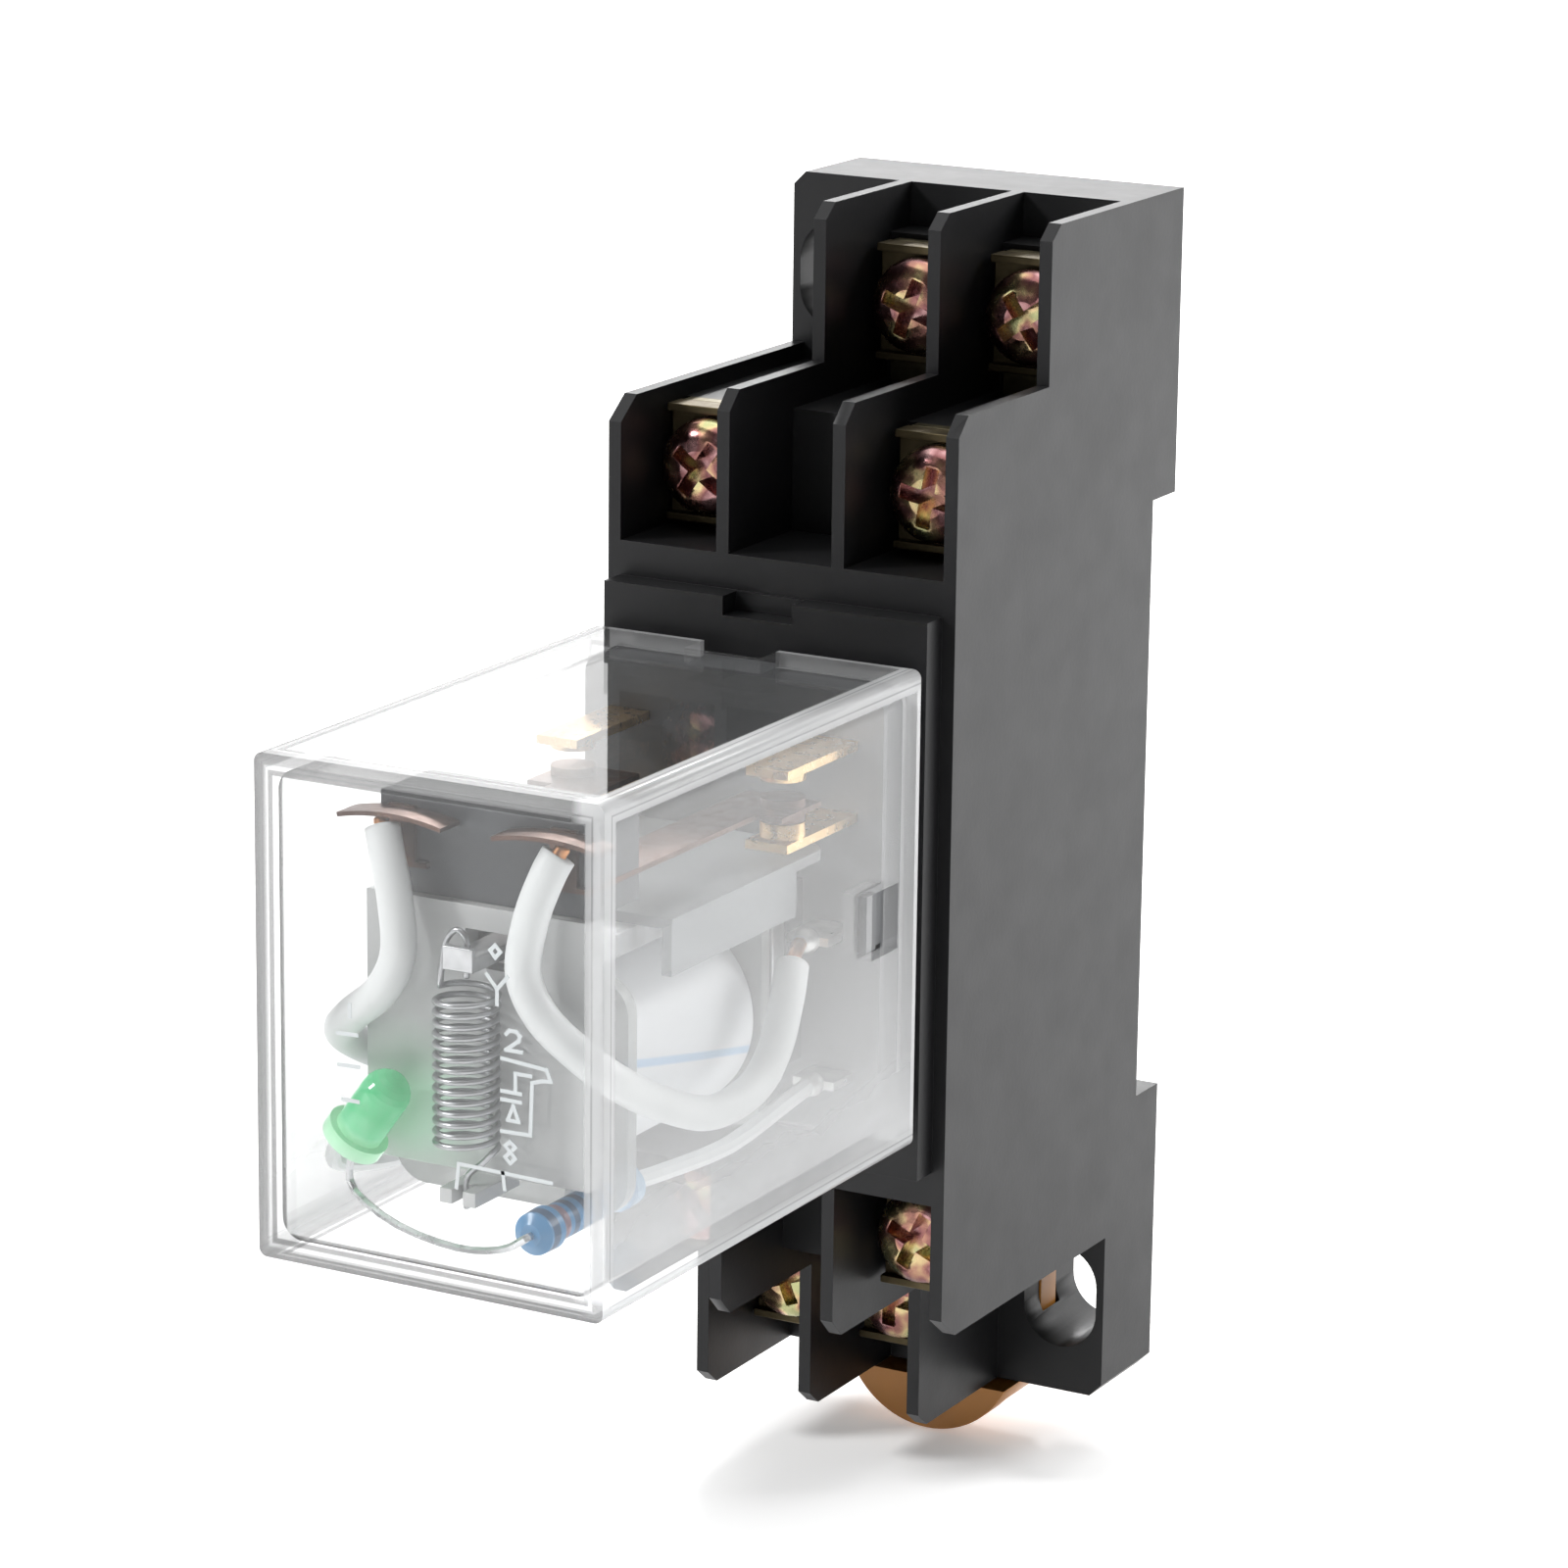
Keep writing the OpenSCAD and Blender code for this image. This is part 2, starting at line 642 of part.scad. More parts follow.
module open_contact(s) {
  color("#c98a4b") {
    blade(s * blade_x, row_open_z, contact_y - 1.8);
    rivet(s * blade_x, contact_y, rivet_high_z + contact_travel, row_open_z - blade_t / 2 + eps);
  }
}
module open_contact_left() { open_contact(-1); }
module open_contact_right() { open_contact(1); }

// Insulating channel laid over the yoke, under the contacts.
module contact_barrier() {
  top = yoke_leg_z + yoke_t + 0.02;
  x1 = 7.5;
  color("#cfd6d6", 0.6) difference() {
    union() {
      slab(-x1, x1, coil_front + 3.0, yoke_back - yoke_t / 2 + 2.6, top, top + 0.6);
      for (s = [-1, 1]) slab(s * (x1 - 0.3) - 0.3, s * (x1 - 0.3) + 0.3, coil_front + 3.0,
        yoke_back - yoke_t / 2 - 1.2, 1.3, top + 0.1);
    }
    // round rear corners
    for (s = [-1, 1]) difference() {
      translate([s * x1, yoke_back - yoke_t / 2 + 2.6, 0]) cube([3, 3, 20], center = true);
      translate([s * (x1 - 1.5), yoke_back - yoke_t / 2 + 1.1, 0]) cylinder(r = 1.5, h = 20, center = true);
    }
  }
}

// ---------- magnet and coil ----------

module coil_bobbin() {
  color("#dfe3e0", 0.8) difference() {
    union() {
      rod_y(0, coil_z, core_r + 0.9, coil_front - flange_t, coil_back + flange_t);
      // front flange, wide, and rear flange
      translate([0, 0, coil_z]) round_bar(14.4, 13.0, 2.0, coil_front - flange_t, coil_front);
      translate([0, 0, coil_z]) round_bar(11.8, 12.4, 1.5, coil_back, coil_back + flange_t);
    }
    rod_y(0, coil_z, core_r + 0.02, coil_front - 3, coil_back + 3);
    // rest for the resistor in the lower edge
    slab(resistor_x - 1.4, resistor_x + 1.4, coil_front - 3, coil_front + 1, coil_z - 8, resistor_z + 1.4);
  }
}

module coil_winding() {
  color("#a85a2a") difference() {
    rod_y(0, coil_z, tape_r - 0.35, coil_front + 0.02, coil_back - 0.02);
    rod_y(0, coil_z, core_r + 0.92, coil_front - 1, coil_back + 1);
  }
}

module coil_tape() {
  color("#eef0f2") difference() {
    rod_y(0, coil_z, tape_r, coil_front + 0.3, coil_back - 0.3);
    rod_y(0, coil_z, tape_r - 0.33, coil_front - 1, coil_back + 1);
  }
}

module magnet_core() {
  color("#9da0a3") {
    rod_y(0, coil_z, core_r, core_front + 0.1, yoke_back - yoke_t / 2 - 0.02);
    rod_y(0, coil_z, 3.9, core_front, coil_front - flange_t - 0.02);
    rod_y(0, coil_z, 1.6, yoke_back - yoke_t / 2 - 0.1, yoke_back + yoke_t / 2 + 0.25);
  }
}

module magnet_yoke() {
  color("#b4b6b8") difference() {
    union() {
      slab(-5.4, 5.4, yoke_front, yoke_back + yoke_t / 2, yoke_leg_z, yoke_leg_z + yoke_t);
      slab(-5.4, 5.4, yoke_back - yoke_t / 2, yoke_back + yoke_t / 2, coil_z - 4.5, yoke_leg_z + eps);
      // tongue through the armature that holds the return spring
      slab(spring_x - 0.9, spring_x + 0.9, spring_y - 0.9, yoke_front + eps, tongue_z, tongue_z + tongue_t);
      slab(spring_x - 0.9, spring_x + 0.9, spring_y - 0.9, spring_y - 0.5, tongue_z, tongue_z + 1.3);
    }
    rod_y(0, coil_z, 1.62, yoke_back - 3, yoke_back + 3);
    translate([spring_x, spring_y, tongue_z - 1]) cylinder(r = return_wire_r + 0.1, h = 3);
  }
}

module armature() {
  color("#bcbdbd") difference() {
    union() {
      slab(-7.0, 6.6, arm_front, arm_back, arm_end_z, arm_top_z);
      // neck held in the carrier
      slab(-2.5, 2.5, arm_front + 0.55, arm_back - 0.05, arm_top_z - eps, 8.6);
      // forked tail pulled by the return spring
      slab(spring_x - 1.1, spring_x + 1.1, spring_y - 0.95, arm_front + eps, tail_z, tail_z + 0.8);
      slab(spring_x - 1.1, spring_x + 1.1, arm_front, arm_back, tail_z, arm_end_z + eps);
    }
    // window for the yoke's tongue
    slab(spring_x - 1.4, spring_x + 1.4, arm_front - 1, arm_back + 1, tongue_z - 0.6, tongue_z + tongue_t + 0.6);
    // fork slot
    slab(spring_x - return_wire_r - 0.15, spring_x + return_wire_r + 0.15, spring_y - 2, spring_y + 0.35,
      tail_z - 1, tail_z + 1);
  }
}

module contact_carrier() {
  color("#3c4044") difference() {
    slab(-6.4, 6.4, carrier_front, carrier_back, arm_top_z + 0.05, carrier_top_z);
    for (s = [-1, 1]) slab(s * 4.9 - 1.52, s * 4.9 + 1.52, carrier_front - 1, carrier_back + 1,
      strip_z - strip_half - 0.02, strip_z + strip_half + 0.02);
    slab(-2.52, 2.52, arm_front + 0.53, arm_back - 0.03, arm_top_z - 1, 8.62);
  }
}

// Bowed leaf in front of the carrier, seen from the front.
leaf_x = 4.7;
leaf_z = 10.35;
leaf_half = 3.2;
leaf_depth = 1.9;
leaf_bow_r = 14;
function bow_arc(r, dir) = let (a = asin(leaf_half / leaf_bow_r))
  [for (k = [-6 : 6]) r * [sin(dir * k * a / 6), cos(k * a / 6)]];
function bow_profile() = concat(bow_arc(leaf_bow_r, 1), bow_arc(leaf_bow_r - 0.25, -1));

module moving_spring(s) {
  x = s * 4.9;
  z0 = strip_z - strip_half;
  z1 = strip_z + strip_half;
  color("#b06a35") {
    slab(x - 1.5, x + 1.5, carrier_front - 0.35, contact_y - 1.4, z0, z1);
    slab(min(x - 1.5, s * blade_x - 1.4), max(x + 1.5, s * blade_x + 1.4), contact_y - 2.6, contact_y + 1.8,
      z0, z1);
    // tab turned up in front of the carrier, with a bowed leaf at its top for the lead
    slab(x - 0.8, x + 0.8, carrier_front - 0.35, carrier_front - 0.05, z0, leaf_z + 0.1);
    translate([s * leaf_x, carrier_front - 0.05, leaf_z - leaf_bow_r]) rotate([90, 0, 0])
      linear_extrude(leaf_depth) polygon(bow_profile());
    rivet(s * blade_x, contact_y, z1 - eps, rivet_high_z);
    rivet(s * blade_x, contact_y, rivet_low_z, z0 + eps);
  }
}
module moving_spring_left() { moving_spring(-1); }
module moving_spring_right() { moving_spring(1); }

// Tension spring between the yoke's tongue and the armature's tail.
module return_spring() {
  r = return_spring_r - return_wire_r;
  coil = helix(r, spring_end_z, spring_top_z, return_turns - 0.5, 10);
  // the upper hook rises outside the tongue, arches over and drops through its hole
  hook = [[-r * 0.9, 0, tongue_z], [-r * 0.75, 0, tongue_z + 1.3], [-r * 0.35, 0, tongue_z + 1.95],
    [0, 0, tongue_z + 1.5], [0, 0, tongue_z + 0.4], [0, 0, tongue_z - 0.5]];
  path = concat([[0, 0, tail_z - 0.4], [0, 0, tail_z + 1.2], [r * 0.6, 0, spring_end_z - 0.7]],
    coil, hook);
  color("#9a9da0") translate([spring_x, spring_y, 0]) wire(path, return_wire_r, up = [0.02, 0.03, 1]);
}

// ---------- leads, lamp and resistor ----------

// Routes are given from the front of the case inwards.
function inside(p) = [for (q = p) [q[0], case_front + q[1], q[2]]];
lead_x = case_in_w - sleeve_r - 1.5 * fit_gap;
LEAD_RIGHT = inside([[5.5, 4.3, leaf_z - 0.55], [4.9, 3.8, 8.4], [4.1, 3.4, 5.9], [3.8, 3.2, 3.1], [4.9, 3.3, 0.9],
  [lead_x - 1.6, 3.6, -0.8], [lead_x - 0.2, 4.8, -2.3], [lead_x, 8.6, -4.4], [lead_x, 14.2, -6.6],
  [lead_x - 0.1, 19.0, -6.7], [lead_x - 0.2, 21.7, -5.3], [lead_x - 0.5, 23.7, -2.9],
  [lead_x - 1.1, 25.4, -1.3], [blade_x, 27.6, row_common_z]]);
LEAD_LEFT = [for (p = LEAD_RIGHT) [-p[0], p[1], p[2]]];
LEAD_UP = [0.9, 0.2, 0.1];
lead_r = 0.42;

module lead_wire(pts) {
  color("#b8763e") wire(spline(pts, 3), lead_r, 6, LEAD_UP);
}
function inner_part(p) = [for (i = [1 : len(p) - 4]) p[i]];
module lead_sleeve(pts) {
  color("#f2f3f1") tube(inner_part(spline(pts, 3)), sleeve_r, lead_r + 0.08, 8, LEAD_UP);
}
module lead_wire_right() { lead_wire(LEAD_RIGHT); }
module lead_wire_left() { lead_wire(LEAD_LEFT); }
module lead_sleeve_right() { lead_sleeve(LEAD_RIGHT); }
module lead_sleeve_left() { lead_sleeve(LEAD_LEFT); }

// The lamp leans to the right; its foot is low on the left.
LAMP_FOOT = [-6.6, spring_y, -7.5];
lamp_lean = 36;
lamp_r = 1.35;
lamp_len = 4.9;
LAMP_DIR = [sin(lamp_lean), 0, cos(lamp_lean)];
LAMP_SIDE = [cos(lamp_lean), 0, -sin(lamp_lean)];

module led_lamp() {
  color("#39b46a", 0.85) translate(LAMP_FOOT) rotate([0, lamp_lean, 0]) rotate_extrude()
    polygon(concat([[0, 0], [lamp_r + 0.4, 0], [lamp_r + 0.4, 0.8], [lamp_r, 0.8], [lamp_r, lamp_len - lamp_r]],
      [for (a = [15 : 15 : 75]) [lamp_r * cos(a), lamp_len - lamp_r + lamp_r * sin(a)]], [[0, lamp_len]]));
}

function lamp_leg(side, out) = LAMP_FOOT + side * 0.6 * LAMP_SIDE - out * LAMP_DIR;

resistor_x = 4.8;
resistor_y = case_front + 2.3;
resistor_z = -10.6;
resistor_len = 10.2;

module led_lead() {
  route = inside([[-6.4, 2.9, -10.2], [-3.5, 2.5, -11.5], [0.5, 2.0, -11.9], [3.4, 1.65, -11.4],
    [resistor_x, 1.7, resistor_z], [resistor_x, 2.27, resistor_z]]);
  color("#a9adb0") wire(spline(concat([lamp_leg(1, 0.03), lamp_leg(1, 1.0)], route), 3), 0.22, 6, [0, 1, 0.2]);
}

module lamp_wire() {
  route = inside([[0.3 - lead_x, 3.8, -9.2], [0.2 - lead_x, 7.0, -10.2], [0.5 - lead_x, 11.0, -10.7],
    [1.1 - lead_x, 20.0, -10.4], [-blade_x, 26.4, -9.6], [-blade_x, 28.55, row_coil_z]]);
  color("#f2f3f1") wire(spline(concat([lamp_leg(-1, 0.03), lamp_leg(-1, 0.9)], route), 3), 0.42, 8, [0, 0.1, 1]);
}

module resistor() {
  color("#6d9ccb") translate([resistor_x, resistor_y, resistor_z]) rotate([-90, 0, 0]) rotate_extrude()
    polygon([[0, 0], [0.6, 0], [1.15, 0.35], [1.2, 1.6], [1.0, 2.1], [1.0, resistor_len - 2.1],
      [1.2, resistor_len - 1.6], [1.15, resistor_len - 0.35], [0.6, resistor_len], [0, resistor_len]]);
}

module resistor_wire() {
  route = inside([[resistor_x, 12.53, resistor_z], [5.1, 15.4, -10.8], [6.2, 20.5, -10.6],
    [blade_x, 25.8, -9.7], [blade_x, 28.55, row_coil_z]]);
  color("#f2f3f1") wire(spline(route, 3), 0.5, 8, [0, 0.1, 1]);
}

socket_housing();
rear_cover();
din_latch();
latch_spring();
contact_strip(0);  // contact_strip_1
contact_strip(1);  // contact_strip_2
contact_strip(2);  // contact_strip_3
contact_strip(3);  // contact_strip_4
contact_strip(4);  // contact_strip_5
contact_strip(5);  // contact_strip_6
contact_strip(6);  // contact_strip_7
contact_strip(7);  // contact_strip_8
clamp_washer(0);  // clamp_washer_1
clamp_washer(1);  // clamp_washer_2
clamp_washer(2);  // clamp_washer_3
clamp_washer(3);  // clamp_washer_4
clamp_washer(4);  // clamp_washer_5
clamp_washer(5);  // clamp_washer_6
clamp_washer(6);  // clamp_washer_7
clamp_washer(7);  // clamp_washer_8
terminal_screw(0);  // terminal_screw_1
terminal_screw(1);  // terminal_screw_2
terminal_screw(2);  // terminal_screw_3
terminal_screw(3);  // terminal_screw_4
terminal_screw(4);  // terminal_screw_5
terminal_screw(5);  // terminal_screw_6
terminal_screw(6);  // terminal_screw_7
terminal_screw(7);  // terminal_screw_8
relay_cover();
relay_base();
coil_terminal_left();
coil_terminal_right();
common_terminal_left();
common_terminal_right();
closed_contact_left();
closed_contact_right();
open_contact_left();
open_contact_right();
contact_barrier();
coil_bobbin();
coil_winding();
coil_tape();
magnet_core();
magnet_yoke();
armature();
contact_carrier();
moving_spring_left();
moving_spring_right();
return_spring();
lead_wire_left();
lead_wire_right();
lead_sleeve_left();
lead_sleeve_right();
led_lamp();
led_lead();
lamp_wire();
resistor();
resistor_wire();
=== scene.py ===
"""Looks for a clear-cased plug-in relay on its rail socket, in the frame of the CAD.

Named sizes and points of the part are in millimetres, and MM or mm() turns them into Blender's
metres. The lights, the camera's distance and the floor are in metres.
"""
import math
import bmesh
import bpy
from mathutils import Matrix, Vector


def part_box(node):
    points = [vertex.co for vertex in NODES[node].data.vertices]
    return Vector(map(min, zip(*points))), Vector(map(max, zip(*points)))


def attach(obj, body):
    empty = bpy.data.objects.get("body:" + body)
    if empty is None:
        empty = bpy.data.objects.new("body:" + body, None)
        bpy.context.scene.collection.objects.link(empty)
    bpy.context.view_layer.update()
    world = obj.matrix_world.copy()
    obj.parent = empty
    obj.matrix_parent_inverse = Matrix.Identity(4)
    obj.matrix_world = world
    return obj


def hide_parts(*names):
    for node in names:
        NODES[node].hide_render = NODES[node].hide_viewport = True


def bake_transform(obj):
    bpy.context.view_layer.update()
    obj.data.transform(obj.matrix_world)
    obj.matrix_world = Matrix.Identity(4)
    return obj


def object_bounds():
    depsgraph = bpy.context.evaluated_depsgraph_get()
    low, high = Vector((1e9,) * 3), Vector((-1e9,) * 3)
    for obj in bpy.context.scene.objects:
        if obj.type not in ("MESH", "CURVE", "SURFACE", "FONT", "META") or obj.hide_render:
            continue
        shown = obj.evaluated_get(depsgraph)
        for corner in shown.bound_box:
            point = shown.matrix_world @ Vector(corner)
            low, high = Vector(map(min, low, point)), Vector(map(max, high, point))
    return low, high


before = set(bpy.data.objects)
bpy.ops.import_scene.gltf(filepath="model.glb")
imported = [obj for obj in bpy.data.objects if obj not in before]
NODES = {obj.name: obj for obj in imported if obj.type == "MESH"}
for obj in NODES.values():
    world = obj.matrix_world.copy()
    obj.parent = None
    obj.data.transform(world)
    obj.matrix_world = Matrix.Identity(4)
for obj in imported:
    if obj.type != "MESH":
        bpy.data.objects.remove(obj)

CAD_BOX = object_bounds()
MM = 0.001


# ---------- places read from the frame ----------

def box_mm(node):
    """Lowest and highest corner of a CAD node, in millimetres."""
    low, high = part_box(node)
    return Vector(low) / MM, Vector(high) / MM


CASE_LOW, CASE_HIGH = box_mm("relay_cover")
CASE_FRONT = CASE_LOW.y
SPRING_FRONT = box_mm("return_spring")[0].y
RESISTOR_LOW, RESISTOR_HIGH = box_mm("resistor")

# The lamp stands on its foot and leans to the right.
LAMP_FOOT = Vector((-6.6, SPRING_FRONT + 1.8, -7.5))
LAMP_LEAN = math.radians(36)
LAMP_LENGTH = 4.9
# Its green light is painted on the armature, around this offset from the foot.
LAMP_GLOW_OFFSET = Vector((2.6, 2.4, 1.6))
LAMP_GLOW_REACH = 5.2


def mm(x, y, z):
    """Point in metres from millimetres."""
    return Vector((x, y, z)) * MM


# ---------- material kit ----------

class Look:
    """A procedural material: a Principled shader and the nodes that feed it."""

    def __init__(self, name, color, rough, metal=0.0, ior=1.5, **plain):
        self.mat = bpy.data.materials.new(name)
        self.mat.use_nodes = True
        self.tree = self.mat.node_tree
        self.shader = self.tree.nodes["Principled BSDF"]
        self.color = color
        self.set("Base Color", (*color, 1.0))
        self.set("Roughness", rough)
        self.set("Metallic", metal)
        self.set("IOR", ior)
        for key, value in plain.items():
            self.set(key.replace("_", " "), value)
        self.place = self.node("ShaderNodeTexCoord").outputs["Object"]

    def set(self, socket, value):
        self.shader.inputs[socket].default_value = value

    def node(self, kind, **inputs):
        """New node; each input takes a constant or another node's output."""
        made = self.tree.nodes.new(kind)
        for key, value in inputs.items():
            socket = made.inputs[key.replace("_", " ")]
            if isinstance(value, bpy.types.NodeSocket):
                self.tree.links.new(value, socket)
            else:
                socket.default_value = value
        return made

    def feed(self, socket, source):
        self.tree.links.new(source, self.shader.inputs[socket])

    def noise(self, size_mm, detail=3.0, stretch=(1, 1, 1), offset=(0, 0, 0)):
        """Noise whose blotches are about size_mm across, drawn out along an axis by stretch."""
        mapping = self.node("ShaderNodeMapping", Vector=self.place, Scale=stretch, Location=offset)
        made = self.node("ShaderNodeTexNoise", Vector=mapping.outputs["Vector"],
                         Scale=1.0 / (size_mm * MM), Detail=detail)
        return made.outputs["Fac"]

    def spread(self, value, low, high, from_low=0.3, from_high=0.7):
        """Value mapped from one range to another, and held at the ends."""
        made = self.node("ShaderNodeMapRange", Value=value)
        for index, number in enumerate((from_low, from_high, low, high), start=1):
            made.inputs[index].default_value = number
        return made.outputs["Result"]

    def fade(self, value, start_mm, end_mm, low=0.0, high=1.0):
        """Low up to start_mm and high from end_mm on, for a value in metres."""
        return self.spread(value, low, high, start_mm * MM, end_mm * MM)

    def ramp(self, value, stops, blend="LINEAR"):
        """Colours picked along value, from stops of a place and a colour."""
        made = self.node("ShaderNodeValToRGB", Fac=value)
        made.color_ramp.interpolation = blend
        made.color_ramp.elements.remove(made.color_ramp.elements[1])
        for index, (at, color) in enumerate(stops):
            stop = made.color_ramp.elements[0] if index == 0 else made.color_ramp.elements.new(at)
            stop.position = at
            stop.color = (*color, 1.0)
        return made.outputs["Color"]

    def mix(self, share, first, second):
        """First where share is 0, second where it is 1; each is a colour or an output."""
        made = self.node("ShaderNodeMixRGB", Fac=share)
        for socket, color in (("Color1", first), ("Color2", second)):
            if isinstance(color, bpy.types.NodeSocket):
                self.tree.links.new(color, made.inputs[socket])
            else:
                made.inputs[socket].default_value = (*color, 1.0)
        return made.outputs["Color"]

    def tint(self, value, amount=0.25):
        """Base colour that drifts darker and lighter with value."""
        dark = tuple(c * (1 - amount) for c in self.color)
        light = tuple(min(c * (1 + amount), 1.0) for c in self.color)
        self.feed("Base Color", self.ramp(value, [(0.3, dark), (0.7, light)]))

    def bump(self, height, depth_mm, strength=0.5):
        made = self.node("ShaderNodeBump", Height=height, Strength=strength,
                         Distance=depth_mm * MM)
        self.feed("Normal", made.outputs["Normal"])

    def axes(self):
        """X, Y and Z of the shaded point, in metres."""
        return self.node("ShaderNodeSeparateXYZ", Vector=self.place).outputs

    def math(self, operation, a, b=0.0):
        made = self.tree.nodes.new("ShaderNodeMath")
        made.operation = operation
        for index, value in enumerate((a, b)):
            if isinstance(value, bpy.types.NodeSocket):
                self.tree.links.new(value, made.inputs[index])
            else:
                made.inputs[index].default_value = value
        return made.outputs["Value"]


def plastic(name, color, rough, grain_mm=0.12, depth_mm=0.006, drift=0.08, **plain):
    """Moulded plastic: a fine spark-eroded grain and slow drifts of colour and gloss."""
    look = Look(name, color, rough, **plain)
    look.tint(look.noise(6.0), drift)
    look.feed("Roughness", look.spread(look.noise(2.5), rough - 0.02, rough + 0.03))
    look.bump(look.noise(grain_mm, detail=2.0), depth_mm, 0.4)
    return look


def metal(name, color, rough, grain_mm=0.25, stretch=(1, 1, 1), depth_mm=0.006, drift=0.18):
    """Plated or bare metal with drawn-out rolling marks."""
    look = Look(name, color, rough, metal=1.0)
    look.tint(look.noise(1.6), drift)
    look.feed("Roughness", look.spread(look.noise(0.7), rough - 0.08, rough + 0.1))
    look.bump(look.noise(grain_mm, stretch=stretch), depth_mm, 0.35)
    return look


def see_through(look, least, most, power=2.2):
    """Opacity that rises from least, seen square on, to most at grazing angles."""
    facing = look.node("ShaderNodeLayerWeight", Blend=0.5).outputs["Facing"]
    look.feed("Alpha", look.spread(look.math("POWER", facing, power), least, most, 0.0, 1.0))
    return look


# ---------- materials ----------

def chromate():
    """Yellow chromate passivation: gold that drifts to magenta, red and green."""
    look = Look("screw_chromate", (0.62, 0.36, 0.16), 0.3, metal=1.0)
    # the lower screws are more golden than the upper ones
    golden = look.fade(look.axes()["Z"], -30, -20, 0.09, 0.0)
    hue = look.math("SUBTRACT", look.noise(1.5, detail=1.5, offset=(0.3, 0.1, 0.7)), golden)
    look.feed("Base Color", look.ramp(hue, [
        (0.28, (0.44, 0.44, 0.22)), (0.38, (0.64, 0.50, 0.26)), (0.47, (0.40, 0.21, 0.15)),
        (0.57, (0.24, 0.10, 0.10)), (0.68, (0.48, 0.27, 0.27)), (0.80, (0.26, 0.28, 0.20))]))
    look.feed("Roughness", look.spread(look.noise(0.5), 0.16, 0.32))
    look.bump(look.noise(0.2), 0.01, 0.4)
    return look


def wall_edge(look):
    """Distance in millimetres from the nearest edge where two outer walls of the case meet.

    It is the middle one of the distances to the nearest side wall, to the nearest of floor and
    roof, and to the front.
    """
    axes = look.axes()
    middle, half = (CASE_LOW + CASE_HIGH) / 2 * MM, (CASE_HIGH - CASE_LOW) / 2 * MM

    def inside(i):
        off_middle = look.math("ABSOLUTE", look.math("SUBTRACT", axes[i], middle[i]))
        return look.math("SUBTRACT", half[i], off_middle)

    across, up = inside(0), inside(2)
    inward = look.math("SUBTRACT", axes[1], CASE_FRONT * MM)
    near, far = look.math("MINIMUM", across, up), look.math("MAXIMUM", across, up)
    second = look.math("MAXIMUM", near, look.math("MINIMUM", far, inward))
    return look.math("DIVIDE", second, MM)


def side_walls(look):
    """1 on the case's left and right walls, 0 on the others."""
    normal = look.node("ShaderNodeNewGeometry").outputs["Normal"]
    sideways = look.node("ShaderNodeSeparateXYZ", Vector=normal).outputs["X"]
    return look.spread(look.math("ABSOLUTE", sideways), 0.0, 1.0, 0.3, 0.9)


def edge_highlights(look, sideways):
    """1 where the edges of the case get a painted highlight, 0 elsewhere.

    That is all over the side walls, and on the other walls beside their right-hand edge, but for
    the lowest strip of the front.
    """
    axes = look.axes()
    right = look.fade(axes["X"], CASE_HIGH.x - 2.0, CASE_HIGH.x - 1.3)
    raised = look.fade(axes["Z"], CASE_LOW.z + 0.9, CASE_LOW.z + 1.4)
    behind = look.fade(axes["Y"], CASE_FRONT + 0.3, CASE_FRONT + 0.6)
    front_right = look.math("MULTIPLY", right, look.math("MAXIMUM", raised, behind))
    return look.math("MAXIMUM", front_right, sideways)


# Stops along the distance from an outer edge, as a share of the reach: how solid the wall looks
# there and how bright. They paint the light and dark lines and the milky band that stand in for
# how the case's edges catch light. The pale set is for the places where the edges get a painted
# highlight.
BAND_REACH = 1.25
DIM_EDGE_LIGHT = [
    (0.0, 0.68, 0.10), (0.46, 0.64, 0.12), (0.56, 0.35, 0.35), (0.64, 0.35, 0.35),
    (0.72, 0.70, 0.06), (0.90, 0.70, 0.06), (0.98, 0.0, 0.55)]
PALE_EDGE_LIGHT = [
    (0.0, 0.62, 0.56), (0.50, 0.62, 0.58), (0.58, 0.50, 0.34), (0.64, 0.60, 0.60),
    (0.86, 0.55, 0.58), (0.96, 0.0, 0.65)]
# colour of the painted highlight on the highlighted bevels
BEVEL_HIGHLIGHT = (0.56, 0.57, 0.58)
# Width of the painted milky highlight along the case's open rear end.
REAR_RIM = 0.45
# Share of light that clear plastic reflects square on.
REFLECTANCE = 0.04


def painted_edge_bands(look, pale):
    """How solid the painted highlight band beside an edge is, and its colour."""
    rim = look.spread(wall_edge(look), 0.0, 1.0, 0.0, BAND_REACH)
    solid, tone = [], []
    for painted_band in (DIM_EDGE_LIGHT, PALE_EDGE_LIGHT):
        solid.append(look.ramp(rim, [(at, (a, a, a)) for at, a, _ in painted_band]))
        tone.append(look.ramp(rim, [(at, (c, c * 1.01, c * 1.02)) for at, _, c in painted_band]))
    mixed = look.node("ShaderNodeSeparateColor", Color=look.mix(pale, *solid))
    return mixed.outputs["Red"], look.mix(pale, *tone)


